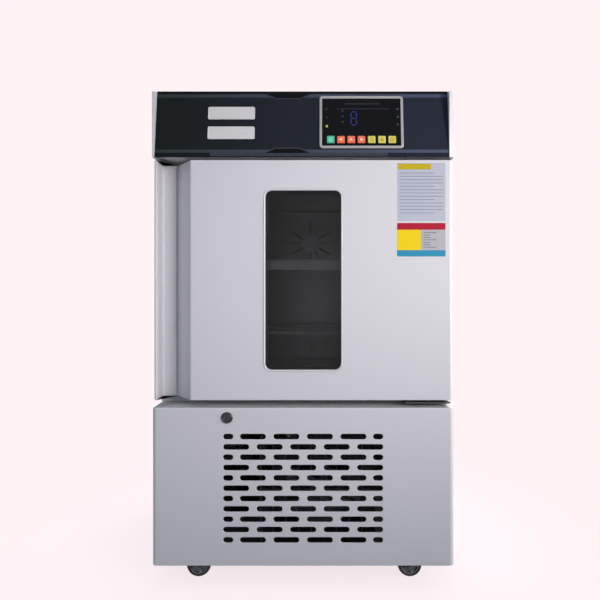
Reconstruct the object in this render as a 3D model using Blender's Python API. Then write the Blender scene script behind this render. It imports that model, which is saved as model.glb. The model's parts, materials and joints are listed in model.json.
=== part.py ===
"""Biochemical incubator: a cabinet on casters with a glazed door and a control head.

Metres, +Z up. The origin lies on the floor below the middle of the cabinet, and the front faces -Y.
"""
import math

import bmesh
import bpy
from mathutils import Matrix

MM = 0.001

# Fits and sheet thicknesses
GAP = 0.3 * MM
RUNNING = 0.4 * MM
SHEET = 1.5 * MM
SUNK = 0.5 * MM
PAST = 1 * MM

# Cabinet
WIDTH = 600 * MM
BODY_DEPTH = 571 * MM
SKIRT_Z = 48.5 * MM
DECK_Z = 360 * MM
MIDDLE_HEIGHT = 498 * MM
HEAD_HEIGHT = 137 * MM
CORNER_R = 9 * MM
CORNER_STEPS = 4

# What stands proud of the front face and of the back covers
LOCK_PROUD = 3 * MM
INLET_PROUD = 2 * MM
FRONT = -(BODY_DEPTH + LOCK_PROUD + INLET_PROUD) / 2 + LOCK_PROUD
BACK = FRONT + BODY_DEPTH
HALF = WIDTH / 2
HEAD_Z = DECK_Z + MIDDLE_HEIGHT
TOP_Z = HEAD_Z + HEAD_HEIGHT

# Vent slots in the lower front
SLOT_LENGTH = 50 * MM
SLOT_HEIGHT = 10 * MM
SHORT_SLOT = 19 * MM
SLOT_PITCH_X = 66.5 * MM
SLOT_PITCH_Z = 20.5 * MM
SLOT_ROWS = 11
SLOT_COLUMNS = 5
SLOT_DROP = 57 * MM
SLOT_STEPS = 4

# Lock
LOCK_INSET = 149 * MM
LOCK_DROP = 19.5 * MM
LOCK_FLANGE_R = 11.5 * MM
LOCK_CHAMFER = 1 * MM
LOCK_BARREL_R = 9.2 * MM
LOCK_PLUG_R = 6.8 * MM
LOCK_LENGTH = 20 * MM
CAM_REACH = 15 * MM
CAM_WIDTH = 12 * MM
CAM_THICK = 2 * MM
KEYWAY_WIDTH = 1.6 * MM
KEYWAY_HEIGHT = 7 * MM
KEYWAY_DEPTH = 8 * MM
LOCK_X = LOCK_INSET - HALF
LOCK_Z = DECK_Z - LOCK_DROP

# Base and casters
CASTER_HEIGHT = 70 * MM
BASE_UPSTAND = 20 * MM
CASTER_INSET_X = 59 * MM
CASTER_INSET_Y = 55 * MM
CASTER_PLATE = 62 * MM
CASTER_PLATE_THICK = 2.5 * MM
RACE_R = 18 * MM
RACE_HEIGHT = 6 * MM
KINGPIN_R = 4 * MM
KINGPIN_LENGTH = 9 * MM
CROWN_R = 20 * MM
CROWN_THICK = 6 * MM
TRAIL = 22 * MM
WHEEL_R = 25 * MM
WHEEL_WIDTH = 18.4 * MM
AXLE_R = 4 * MM
AXLE_HEAD = 1.7 * MM
FORK_SHEET = 2.5 * MM
FORK_SIDE_GAP = 0.6 * MM
FORK_END_R = 8 * MM
FORK_ROOT = 14 * MM
FORK_BACK = 6.4 * MM
WHEEL_STEPS = 16

# Shares of a wheel's radius and half width, from its hub out to its tread
WHEEL_SIDE = ((0.36, 1.0), (0.42, 0.62), (0.68, 0.55), (0.74, 0.85), (0.92, 0.97), (1.0, 0.7))

# Door
DOOR_SIDE_GAP = 3 * MM
DOOR_THICK = 56 * MM
DOOR_GAP_BELOW = 15 * MM
DOOR_GAP_ABOVE = 6 * MM
DOOR_EDGE_R = 5 * MM
INNER_PANEL = 4.7 * MM
INNER_PANEL_R = 3 * MM
INNER_FIELD = 5 * MM
INNER_FIELD_MARGIN_X = 69 * MM
INNER_FIELD_MARGIN_Z = 16 * MM
INNER_FIELD_SEAL_Z = 17.5 * MM
GASKET_THICK = 9.4 * MM
GASKET_WIDTH = 14 * MM
GASKET_WAIST = 3.5 * MM
GASKET_MARGIN_X = 16 * MM
GASKET_MARGIN_Z = 10 * MM
DOOR_HALF = HALF - DOOR_SIDE_GAP
DOOR_BOTTOM = DECK_Z + DOOR_GAP_BELOW
DOOR_TOP = HEAD_Z - DOOR_GAP_ABOVE
DOOR_BACK = FRONT + DOOR_THICK
CORE_BACK = DOOR_BACK - INNER_PANEL - GAP
FRAME_Y = DOOR_BACK + GAP + GASKET_THICK + GAP

# Grip channel down the door's free edge
GRIP_LIP = 5.5 * MM
GRIP_WALL = 3 * MM
GRIP_DEPTH = 48 * MM
GRIP_FLOOR = 31.5 * MM
GRIP_WIDTH = 75 * MM
GRIP_CORNER_R = 5 * MM
GRIP_LIP_R = 2 * MM
GRIP_LAND = 3 * MM

# Window
WINDOW_WIDTH = 151 * MM
WINDOW_HEIGHT = 356 * MM
WINDOW_R = 13 * MM
WINDOW_RIM = 3 * MM
WINDOW_Z = (DOOR_BOTTOM + DOOR_TOP) / 2
GLASS_THICK = 4 * MM
GLASS_SETBACK = 2.5 * MM
RIM_BEVEL = 1 * MM

# Hinges
HINGE_INSET = 14 * MM
HINGE_DEPTH = 28 * MM
HINGE_PIN_R = 4 * MM
HINGE_PIN_LENGTH = 16 * MM
HINGE_PLATE_SPAN = 78 * MM
HINGE_PLATE_THICK = 3 * MM
HINGE_PLATE_FRONT = 12 * MM
HINGE_COLLAR_R = 7 * MM
HINGE_PLATE_INSET = 2 * MM
HINGE_WEB_INSET = 1 * MM
HINGE_WEB_DROP = 2 * MM
BUSH_WALL = 3 * MM
BUSH_SPARE = 1.5 * MM
HINGE_X = DOOR_HALF - HINGE_INSET
HINGE_Y = FRONT + HINGE_DEPTH
BUSH_BORE_R = HINGE_PIN_R + RUNNING
BUSH_R = BUSH_BORE_R + BUSH_WALL
BUSH_LENGTH = HINGE_PIN_LENGTH + BUSH_SPARE

# Chamber
SIDE_WALL = 50 * MM
FLOOR_WALL = 45 * MM
ROOF_WALL = 40 * MM
CHAMBER_R = 12 * MM
BACK_WALL = 50 * MM
SHELL_R = 2 * MM
SHELL_INNER_R = 1 * MM
FRAME_THICK = 2 * MM
SHELL_RETURN = 20 * MM
LINER_FLANGE = 15 * MM
CHAMBER_HALF = HALF - SIDE_WALL
CHAMBER_BOTTOM = DECK_Z + FLOOR_WALL
CHAMBER_TOP = HEAD_Z - ROOF_WALL
CHAMBER_BACK = BACK - BACK_WALL
SHELL_FRONT = FRAME_Y + FRAME_THICK + GAP
SHELL_BACK = BACK - SHEET - GAP

# Air duct at the back of the chamber
DUCT_DEPTH = 73 * MM
DUCT_MARGIN_X = 25 * MM
DUCT_MARGIN_Z = 4 * MM
DUCT_R = 8 * MM
DUCT_HALF = CHAMBER_HALF - DUCT_MARGIN_X
DUCT_FRONT = CHAMBER_BACK - DUCT_DEPTH
FAN_DROP = 90 * MM
FAN_Z = CHAMBER_TOP - FAN_DROP
FAN_R = 66 * MM
FAN_HUB_R = 16 * MM
FAN_BEHIND_GRILLE = 14 * MM
FAN_BLADES = 6
FAN_MOTOR_R = 30 * MM
FAN_MOTOR_LENGTH = 36 * MM
SHAFT_R = 4 * MM
GRILLE_SLOTS = 12
GRILLE_INNER_R = 24 * MM
GRILLE_SLOT_LENGTH = 40 * MM
GRILLE_SLOT_WIDTH = 6 * MM
AIR_SLOTS = 7
AIR_SLOT_PITCH = 40 * MM
AIR_SLOT_LENGTH = 50 * MM
AIR_SLOT_RISE = 45 * MM
FAN_CLEARANCE = 1 * MM

# Fan blades, with their pitch in degrees and their corners as shares of the hub, the chord and the radius
BLADE_PITCH = 28
BLADE_ROOT = 0.8
BLADE_CHORD = 1.35
BLADE_NECK = 0.35
BLADE_TIP = ((0.75, 0.93), (0.35, 1.0), (-0.75, 0.96))
BLADE_THICK = 2 * MM

# Evaporator behind the duct cover
EVAP_MARGIN_X = 45 * MM
EVAP_RISE = 85 * MM
EVAP_HEIGHT = 150 * MM
EVAP_DEPTH = 44 * MM
EVAP_FINS = 7
EVAP_TUBES = 2
FIN_THICK = 1.5 * MM
FIN_MARGIN = 12.5 * MM
TUBE_R = 5 * MM

# Shelves and their supports
SHELF_RISE = 250 * MM
SHELF_PITCH = 77.5 * MM
SHELF_LEVEL = CHAMBER_BOTTOM + SHELF_RISE
LOWER_SHELF_LEVEL = SHELF_LEVEL - 2 * SHELF_PITCH
RUNNERS_BELOW = 3
RUNNERS_ABOVE = 1
SHELF_THICK = 5 * MM
SHELF_EDGE = 9 * MM
SHELF_BAR = 4 * MM
SHELF_BARS = 16
SHELF_SETBACK = 14 * MM
SHELF_BACK_GAP = 11 * MM
SHELF_SIDE_GAP = 1 * MM
SUPPORT_SHEET = 2 * MM
SUPPORT_STRIP = 25 * MM
SUPPORT_SETBACK = 22 * MM
SUPPORT_MARGIN_Z = 14 * MM
SUPPORT_RAIL = 16 * MM
RUNNER_WIDTH = 11 * MM
RUNNER_INSET = 1 * MM

# Sensor probe
PROBE_X = 150 * MM
PROBE_DROP = 30 * MM
PROBE_R = 3 * MM
PROBE_LENGTH = 60 * MM
PROBE_BASE_R = 8 * MM
PROBE_BASE = 5 * MM

# Refrigeration
COMPRESSOR_X = -120 * MM
COMPRESSOR_Y = 90 * MM
COMPRESSOR_R = 74 * MM
COMPRESSOR_HEIGHT = 168 * MM
COMPRESSOR_FOOT_R = 11 * MM
COMPRESSOR_FOOT_TOP_R = 8.8 * MM
COMPRESSOR_FOOT = 11 * MM
FOOT_PLATE = 3 * MM
FOOT_PLATE_SUNK = 1 * MM
FOOT_SPAN_X = 160 * MM
FOOT_SPAN_Y = 100 * MM
COIL_X = 40 * MM
COIL_HALF = 130 * MM
COIL_HEIGHT = 220 * MM
COIL_DEPTH = 44 * MM
COIL_SETBACK = 28 * MM
COIL_FINS = 9
COIL_TUBES = 3
SHROUD_HALF = 105 * MM
SHROUD_THICK = 2 * MM
SHROUD_BEHIND_COIL = 4 * MM
COLLAR_R = 88 * MM
COLLAR_WALL = 3 * MM
COLLAR_DEPTH = 24 * MM
STRUT_WIDTH = 8 * MM
STRUT_THICK = 4 * MM
STRUTS = 3
BIG_FAN_R = 84 * MM
BIG_FAN_HUB_R = 20 * MM
BIG_FAN_BLADES = 5
BIG_MOTOR_R = 28 * MM
BIG_MOTOR_LENGTH = 34 * MM

# Shares of the compressor can's radius and rise, from its foot to its crown
CAN_FOOT = 0.9
CAN_SIDE = ((1.0, 0.05), (1.0, 0.42), (1.05, 0.43), (1.05, 0.46), (0.98, 0.47), (0.96, 0.8), (0.84, 0.92),
            (0.55, 0.98), (0.25, 1.0))

# Rear covers and inlet
REAR_SLOTS = 8
REAR_SLOT_PITCH = 18 * MM
REAR_SLOT_DROP = 54 * MM
REAR_SLOT_WIDTH = 180 * MM
REAR_SLOT_HEIGHT = 7 * MM
REAR_SLOT_X = 130 * MM
INLET_INSET = 50 * MM
INLET_Z = 130 * MM
INLET_WIDTH = 28 * MM
INLET_HEIGHT = 48 * MM
INLET_DEPTH = 26 * MM
INLET_LIP = 4 * MM
SOCKET_WIDTH = 17 * MM
SOCKET_HEIGHT = 25 * MM
SOCKET_DEPTH = 17 * MM
INLET_X = HALF - INLET_INSET

# Control head
LEFT_CHEEK = 1.8 * MM
RIGHT_CHEEK = 8 * MM
LEFT_NOSE_R = 0.8 * MM
RIGHT_NOSE_R = 6 * MM
NOSE_STEPS = 5
CHEEK_DEPTH = 30 * MM
HEAD_EDGE_R = 3 * MM
HEAD_PAST = 10 * MM
FASCIA_LEAN = 19 * MM
FASCIA_THICK = 3 * MM
FASCIA_ANGLE = math.atan2(FASCIA_LEAN, HEAD_HEIGHT)
FASCIA_HEIGHT = math.hypot(FASCIA_LEAN, HEAD_HEIGHT)
FASCIA_LEFT = LEFT_CHEEK - HALF
FASCIA_RIGHT = HALF - RIGHT_CHEEK

# Display on the fascia, places measured along it from its lower edge
DISPLAY_X = 116 * MM
DISPLAY_Z = 72 * MM
DISPLAY_WIDTH = 170 * MM
DISPLAY_HEIGHT = 112 * MM
DISPLAY_BAR = 6.5 * MM
DISPLAY_LEDGE = 2.5 * MM
DISPLAY_R = 3 * MM
BEZEL_PROUD = 3 * MM
BEZEL_LIP = 1.8 * MM
PANEL_THICK = 3 * MM
KEYS = 7
KEY_SIZE = 15 * MM
KEY_PITCH = 20.4 * MM
KEY_Z = 36 * MM
KEY_R = 1.5 * MM
KEY_PROUD = 1 * MM
KEY_FLANGE = 1 * MM
KEY_RIM = 1 * MM
KEY_TRAVEL = 0.8 * MM
KEY_SPARE = 0.5 * MM
CASE_MARGIN = 4 * MM
CASE_DEPTH = 60 * MM

# Blank plates on the fascia
PLATE_X = -144 * MM
PLATE_UPPER_Z = 91.5 * MM
PLATE_LOWER_Z = 50 * MM
PLATE_WIDTH = 94 * MM
PLATE_HEIGHT = 26.5 * MM
PLATE_THICK = 1 * MM
PLATE_R = 3 * MM

FINISHES = {
    "white_paint": ("#c9c9cf", 0.35, 0.0),
    "stainless": ("#b4b7ba", 0.30, 1.0),
    "aluminium": ("#bcbcc2", 0.35, 1.0),
    "zinc": ("#8f9296", 0.45, 1.0),
    "black_gloss": ("#1d2126", 0.15, 0.0),
    "black_plastic": ("#17181b", 0.50, 0.0),
    "grey_plastic": ("#8d9094", 0.50, 0.0),
    "white_plastic": ("#d8d8dc", 0.40, 0.0),
    "foam": ("#d9cfa8", 0.90, 0.0),
    "rubber": ("#9a9ca3", 0.80, 0.0),
    "tinted_glass": ("#20242b", 0.05, 0.0),
    "silver": ("#c4c4c4", 0.30, 0.8),
    "teal": ("#4bbf9b", 0.40, 0.0),
    "orange": ("#f0704c", 0.40, 0.0),
    "yellow": ("#d8cf60", 0.40, 0.0),
}


def clear_scene():
    """Remove the objects the file holds."""
    for obj in list(bpy.data.objects):
        bpy.data.objects.remove(obj, do_unlink=True)


def linear(channel):
    """The linear value of an sRGB channel between 0 and 1."""
    return channel / 12.92 if channel <= 0.04045 else ((channel + 0.055) / 1.055) ** 2.4


def material(name, finish):
    """A Principled material of one of the finishes, for one piece."""
    code, roughness, metallic = FINISHES[finish]
    colour = [linear(int(code[k:k + 2], 16) / 255) for k in (1, 3, 5)] + [1.0]
    mat = bpy.data.materials.new(name + "_" + finish)
    mat.use_nodes = True
    shader = mat.node_tree.nodes["Principled BSDF"]
    shader.inputs["Base Color"].default_value = colour
    shader.inputs["Roughness"].default_value = roughness
    shader.inputs["Metallic"].default_value = metallic
    mat.diffuse_color = colour
    return mat


def arc(cx, cy, radius, start, end, steps):
    """Points of an arc between two angles in degrees, both ends included."""
    points = []
    for k in range(steps + 1):
        angle = math.radians(start + (end - start) * k / steps)
        points.append((cx + radius * math.cos(angle), cy + radius * math.sin(angle)))
    return points


def rectangle(x0, x1, y0, y1):
    """Corners of a rectangle, counter-clockwise."""
    return [(x0, y0), (x1, y0), (x1, y1), (x0, y1)]


def rounded(x0, x1, y0, y1, radius, steps=4):
    """Outline of a rectangle with round corners, counter-clockwise."""
    return (arc(x1 - radius, y0 + radius, radius, -90, 0, steps)
            + arc(x1 - radius, y1 - radius, radius, 0, 90, steps)
            + arc(x0 + radius, y1 - radius, radius, 90, 180, steps)
            + arc(x0 + radius, y0 + radius, radius, 180, 270, steps))


def centred(cx, cy, width, height, radius, steps=4):
    """A rounded rectangle given by its centre and size."""
    return rounded(cx - width / 2, cx + width / 2, cy - height / 2, cy + height / 2, radius, steps)


def circle(radius, steps):
    """Points of a circle round the origin."""
    return arc(0, 0, radius, 0, 360 * (steps - 1) / steps, steps - 1)


def at_z(outline, z):
    """An outline drawn in plan, at one height."""
    return [(x, y, z) for x, y in outline]


def at_y(outline, y):
    """An outline drawn on the front, as X and Z, at one depth."""
    return [(x, y, z) for x, z in outline]


def at_x(outline, x):
    """An outline drawn on the side, as Y and Z, at one X."""
    return [(x, y, z) for y, z in outline]


def loft(loops, ring=False):
    """A closed skin through loops with as many points each, capped at both ends or closed as a ring."""
    bm = bmesh.new()
    rows = [[bm.verts.new(point) for point in loop] for loop in loops]
    pairs = list(zip(rows, rows[1:]))
    if ring:
        pairs.append((rows[-1], rows[0]))
    for low, high in pairs:
        for k in range(len(low)):
            after = (k + 1) % len(low)
            bm.faces.new((low[k], low[after], high[after], high[k]))
    if not ring:
        bm.faces.new(rows[0])
        bm.faces.new(rows[-1])
    bmesh.ops.recalc_face_normals(bm, faces=bm.faces)
    return bm


def box(x0, x1, y0, y1, z0, z1):
    """A rectangular block."""
    return loft([at_z(rectangle(x0, x1, y0, y1), z) for z in (z0, z1)])


def turned(profile, steps=20, ring=False):
    """A body of revolution round Z from (radius, height) points."""
    return loft([at_z(circle(radius, steps), z) for radius, z in profile], ring)


def moved(bm, matrix):
    """The same shape after a turn or a move."""
    bm.transform(matrix)
    return bm


def along_y(x, y, z):
    """Carries a shape made along Z to point along +Y from a place."""
    return Matrix.Translation((x, y, z)) @ Matrix.Rotation(-math.pi / 2, 4, "X")


def bundle(shapes):
    """Several shapes that don't meet, as one."""
    whole = bmesh.new()
    for shape in shapes:
        mesh = bpy.data.meshes.new("bundle")
        shape.to_mesh(mesh)
        shape.free()
        whole.from_mesh(mesh)
        bpy.data.meshes.remove(mesh)
    return whole


def add_object(name, mesh, parent):
    """Link a mesh to the scene, on an axis if it has one, where its own coordinates put it."""
    obj = bpy.data.objects.new(name, mesh)
    bpy.context.scene.collection.objects.link(obj)
    if parent:
        obj.parent = parent
    return obj


def piece(name, bm, finish, parent=None):
    """One named piece of the incubator."""
    mesh = bpy.data.meshes.new(name)
    bm.to_mesh(mesh)
    bm.free()
    mesh.shade_smooth()
    mesh.set_sharp_from_angle(angle=math.radians(35))
    obj = add_object(name, mesh, parent)
    mesh.materials.append(material(name, finish))
    return obj


def shape_with(obj, bm, operation):
    """Cut a shape out of a piece or join it to the piece."""
    mesh = bpy.data.meshes.new(obj.name + "_tool")
    bm.to_mesh(mesh)
    bm.free()
    tool = add_object(mesh.name, mesh, obj.parent)
    tool.hide_render = True
    tool.display_type = "WIRE"
    modifier = obj.modifiers.new(operation.lower(), "BOOLEAN")
    modifier.operation = operation
    modifier.solver = "EXACT"
    modifier.object = tool


def cut(obj, *shapes):
    """Cut shapes out of a piece, one after the other."""
    for shape in shapes:
        shape_with(obj, shape, "DIFFERENCE")


def join(obj, *shapes):
    """Join shapes to a piece, one after the other."""
    for shape in shapes:
        shape_with(obj, shape, "UNION")


def axis_at(name, location, rotation=(0, 0, 0)):
    """An empty on a joint's axis or at a group's place."""
    empty = bpy.data.objects.new(name, None)
    empty.location = location
    empty.rotation_euler = rotation
    bpy.context.scene.collection.objects.link(empty)
    return empty


def front_outline(half, y_front, y_back, radius):
    """Plan of a plate with its two front corners rounded."""
    return (arc(-half + radius, y_front + radius, radius, 180, 270, CORNER_STEPS)
            + arc(half - radius, y_front + radius, radius, 270, 360, CORNER_STEPS)
            + [(half, y_back), (-half, y_back)])


def wrap_outline(half, y_front, y_back, radius, sheet):
    """Plan of a sheet folded round the front: left side, front and right side."""
    outer = front_outline(half, y_front, y_back, radius)
    inner = front_outline(half - sheet, y_front + sheet, y_back, radius - sheet)
    outer_run = [outer[-1]] + outer[:-1]
    inner_run = [inner[-1]] + inner[:-1]
    return outer_run + inner_run[::-1]


def slot(cx, cz, length, height, y0, y1, steps=SLOT_STEPS):
    """A long hole with round ends through a wall that faces the front."""
    reach = (length - height) / 2
    outline = (arc(cx + reach, cz, height / 2, -90, 90, steps)
               + arc(cx - reach, cz, height / 2, 90, 270, steps))
    return loft([at_y(outline, y0), at_y(outline, y1)])


def vent_slots():
    """The staggered slots of the lower front: full rows, and rows with a short slot at each end."""
    half_run = ((SLOT_COLUMNS - 1) * SLOT_PITCH_X + SLOT_LENGTH) / 2
    depth = (FRONT - SHEET, FRONT + 2 * SHEET)
    slots = []
    for row in range(SLOT_ROWS):
        z = DECK_Z - SLOT_DROP - row * SLOT_PITCH_Z
        shifted = row % 2 == 0
        count = SLOT_COLUMNS - 1 if shifted else SLOT_COLUMNS
        for column in range(count):
            x = (column - (count - 1) / 2) * SLOT_PITCH_X
            slots.append(slot(x, z, SLOT_LENGTH, SLOT_HEIGHT, *depth))
        if shifted:
            for side in (-1, 1):
                x = side * (half_run - SHORT_SLOT / 2)
                slots.append(slot(x, z, SHORT_SLOT, SLOT_HEIGHT, *depth))
    return bundle(slots)


def lower_shell():
    """Painted wrap of the machine compartment, with the vent slots and the lock's hole."""
    outline = wrap_outline(HALF, FRONT, BACK - SHEET - GAP, CORNER_R, SHEET)
    shell = piece("lower_shell", loft([at_z(outline, SKIRT_Z), at_z(outline, DECK_Z - SHEET - GAP)]),
                  "white_paint")
    hole = turned([(LOCK_BARREL_R + GAP, -2 * SHEET), (LOCK_BARREL_R + GAP, 2 * SHEET)])
    cut(shell, vent_slots(), moved(hole, along_y(LOCK_X, FRONT, LOCK_Z)))


def deck():
    """Top sheet of the machine compartment, which carries the chamber."""
    outline = front_outline(HALF, FRONT, BACK - SHEET - GAP, CORNER_R)
    piece("deck", loft([at_z(outline, DECK_Z - SHEET), at_z(outline, DECK_Z)]), "white_paint")


def caster_places():
    """Swivel axes of the casters, with the turn that points each wheel inwards."""
    reach = HALF - CASTER_INSET_X
    for end, y in (("front", FRONT + CASTER_INSET_Y), ("rear", BACK - CASTER_INSET_Y)):
        for side, x, turn in (("left", -reach, 0), ("right", reach, math.pi)):
            yield end + "_" + side, x, y, turn


def base_plate():
    """Floor pan of the machine compartment, with the four caster plates, races and kingpins."""
    inset = SHEET + GAP
    outer = front_outline(HALF - inset, FRONT + inset, BACK - inset, CORNER_R - inset)
    inner = front_outline(HALF - inset - SHEET, FRONT + inset + SHEET, BACK - inset - SHEET,
                          CORNER_R - inset - SHEET)
    rim = CASTER_HEIGHT + BASE_UPSTAND
    pan = piece("base_plate", loft([at_z(outer, CASTER_HEIGHT), at_z(outer, rim), at_z(inner, rim),
                                    at_z(inner, CASTER_HEIGHT + SHEET)]), "zinc")
    plate_z = CASTER_HEIGHT - CASTER_PLATE_THICK
    race_z = plate_z - RACE_HEIGHT
    half = CASTER_PLATE / 2
    for _, x, y, _ in caster_places():
        plate = box(x - half, x + half, y - half, y + half, plate_z, CASTER_HEIGHT + SUNK)
        race = turned([(KINGPIN_R, race_z - KINGPIN_LENGTH), (KINGPIN_R, race_z), (RACE_R, race_z),
                       (RACE_R, plate_z + SUNK)], 16)
        join(pan, plate, moved(race, Matrix.Translation((x, y, 0))))


def fork_mesh():
    """Caster fork round its own swivel axis, trailing towards +X, with its axle."""
    crown_top = CASTER_HEIGHT - CASTER_PLATE_THICK - RACE_HEIGHT - GAP
    crown_bottom = crown_top - CROWN_THICK
    bore = KINGPIN_R + RUNNING
    fork = piece("fork_form", turned([(bore, crown_bottom), (CROWN_R, crown_bottom), (CROWN_R, crown_top),
                                      (bore, crown_top)], 20, ring=True), "zinc")
    middle = crown_bottom + CROWN_THICK / 2
    outline = ([(-FORK_ROOT, middle)]
               + arc(TRAIL, WHEEL_R, FORK_END_R, 200, 360, 6)
               + [(TRAIL + FORK_BACK, crown_bottom - FORK_SHEET), (FORK_ROOT, middle)])
    inner = WHEEL_WIDTH / 2 + FORK_SIDE_GAP
    outer = inner + FORK_SHEET
    for side in (-1, 1):
        join(fork, loft([at_y(outline, side * inner), at_y(outline, side * outer)]))
    axle_half = outer + AXLE_HEAD
    axle = turned([(AXLE_R, 0), (AXLE_R, 2 * axle_half)], 12)
    join(fork, moved(axle, along_y(TRAIL, -axle_half, WHEEL_R)))
    return fork


def wheel_mesh():
    """Caster wheel round its own axle: rounded tread, dished sides and a plain bore."""
    half = WHEEL_WIDTH / 2
    side = [(AXLE_R + RUNNING, half)] + [(radius * WHEEL_R, width * half) for radius, width in WHEEL_SIDE]
    profile = [(radius, -z) for radius, z in side] + side[::-1]
    return moved(turned(profile, WHEEL_STEPS, ring=True), Matrix.Rotation(-math.pi / 2, 4, "X"))


def casters():
    """Four swivel casters, each with its fork on the swivel axis and its wheel on the axle."""
    form = fork_mesh()
    bpy.context.view_layer.update()
    graph = bpy.context.evaluated_depsgraph_get()
    forged = bpy.data.meshes.new_from_object(form.evaluated_get(graph))
    tools = [modifier.object for modifier in form.modifiers]
    for obj in [form] + tools:
        bpy.data.objects.remove(obj, do_unlink=True)
    for place, x, y, turn in caster_places():
        swivel = axis_at(place + "_swivel_axis", (x, y, 0), (0, 0, turn))
        fork = add_object(place + "_fork", forged.copy(), swivel)
        fork.data.materials.clear()
        fork.data.materials.append(material(fork.name, "zinc"))
        wheel = piece(place + "_wheel", wheel_mesh(), "black_plastic", swivel)
        wheel.location = (TRAIL, 0, WHEEL_R)


def lock():
    """Quarter-turn lock: a fixed body in the panel and a plug with its cam."""
    proud = LOCK_PROUD
    bore = LOCK_PLUG_R + RUNNING
    body = turned([(bore, -proud), (LOCK_FLANGE_R - LOCK_CHAMFER, -proud),
                   (LOCK_FLANGE_R, LOCK_CHAMFER - proud), (LOCK_FLANGE_R, -GAP), (LOCK_BARREL_R, -GAP),
                   (LOCK_BARREL_R, LOCK_LENGTH), (bore, LOCK_LENGTH)], ring=True)
    piece("lock_body", moved(body, along_y(LOCK_X, FRONT, LOCK_Z)), "zinc")
    axis = axis_at("lock_axis", (LOCK_X, FRONT, LOCK_Z))
    cam_front = LOCK_LENGTH + GAP
    pin = turned([(LOCK_PLUG_R, GAP - proud), (LOCK_PLUG_R, cam_front + CAM_THICK)])
    plug = piece("lock_plug", moved(pin, along_y(0, 0, 0)), "zinc", axis)
    half = CAM_WIDTH / 2
    tongue = [(half, -half)] + arc(0, CAM_REACH - half, half, 0, 180, 6) + [(-half, -half)]
    join(plug, loft([at_y(tongue, cam_front), at_y(tongue, cam_front + CAM_THICK - SUNK)]))
    cut(plug, box(-KEYWAY_WIDTH / 2, KEYWAY_WIDTH / 2, -2 * proud, KEYWAY_DEPTH - proud,
                  -KEYWAY_HEIGHT / 2, KEYWAY_HEIGHT / 2))


def finned_coil(name, x_mid, half, y0, depth, z0, height, fins, tubes, finish, foot_depth=0.0):
    """Rows of fins on straight tubes between two end plates, whose back edge may reach further."""
    y1 = y0 + depth
    ends = (y0, y1 + foot_depth, z0, z0 + height)
    coil = piece(name, box(x_mid - half, x_mid - half + SHEET, *ends), finish)
    join(coil, box(x_mid + half - SHEET, x_mid + half, *ends))
    plates = []
    for k in range(fins):
        x = x_mid - half + 2 * half * (k + 1) / (fins + 1)
        plates.append(box(x, x + FIN_THICK, y0, y1, z0 + FIN_MARGIN, z0 + height - FIN_MARGIN))
    rods = []
    for k in range(tubes):
        z = z0 + height * (k + 0.5) / tubes
        rod = turned([(TUBE_R, 0), (TUBE_R, 2 * half - SHEET)], 6)
        place = Matrix.Translation((x_mid - half + SHEET / 2, y0 + depth / 2, z))
        rods.append(moved(rod, place @ Matrix.Rotation(math.pi / 2, 4, "Y")))
    join(coil, bundle(rods), bundle(plates))


def fan(name, x, y, z, radius, hub_r, depth, blades, finish):
    """An axial fan on a shaft along Y, with pitched blades round a bored hub."""
    axis = axis_at(name + "_axis", (x, y, z))
    bore = SHAFT_R + RUNNING
    hub = turned([(bore, 0), (hub_r, 0), (hub_r, depth), (bore, depth)], 20, ring=True)
    wheel = piece(name, moved(hub, along_y(0, 0, 0)), finish, axis)
    chord, root = depth * BLADE_CHORD, hub_r * BLADE_ROOT
    outline = ([(-chord * BLADE_NECK, root), (chord * BLADE_NECK, root)]
               + [(chord * across, radius * out) for across, out in BLADE_TIP])
    for k in range(blades):
        blade = loft([at_y(outline, -BLADE_THICK / 2), at_y(outline, BLADE_THICK / 2)])
        pitch = Matrix.Rotation(math.radians(BLADE_PITCH), 4, "Z")
        place = (Matrix.Translation((0, depth / 2, 0)) @ Matrix.Rotation(2 * math.pi * k / blades, 4, "Y")
                 @ pitch)
        join(wheel, moved(blade, place))


def compressor():
    """Hermetic compressor: a drawn can with its weld flange, on a foot plate and rubber feet."""
    floor = CASTER_HEIGHT + SHEET + GAP
    r = COMPRESSOR_R
    z = floor + COMPRESSOR_FOOT
    top = floor + COMPRESSOR_HEIGHT
    rise = top - z
    can = turned([(CAN_FOOT * r, z - SUNK)] + [(width * r, z + lift * rise) for width, lift in CAN_SIDE])
    x, y = COMPRESSOR_X, COMPRESSOR_Y
    body = piece("compressor", moved(can, Matrix.Translation((x, y, 0))), "black_plastic")
    half_x = FOOT_SPAN_X / 2 + COMPRESSOR_FOOT_R
    half_y = FOOT_SPAN_Y / 2 + COMPRESSOR_FOOT_R
    plate_top = z + FOOT_PLATE_SUNK
    join(body, box(x - half_x, x + half_x, y - half_y, y + half_y, plate_top - FOOT_PLATE, plate_top))
    for foot_x in (x - FOOT_SPAN_X / 2, x + FOOT_SPAN_X / 2):
        for foot_y in (y - FOOT_SPAN_Y / 2, y + FOOT_SPAN_Y / 2):
            foot = turned([(COMPRESSOR_FOOT_R, floor), (COMPRESSOR_FOOT_TOP_R, z)], 12)
            join(body, moved(foot, Matrix.Translation((foot_x, foot_y, 0))))


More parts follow.
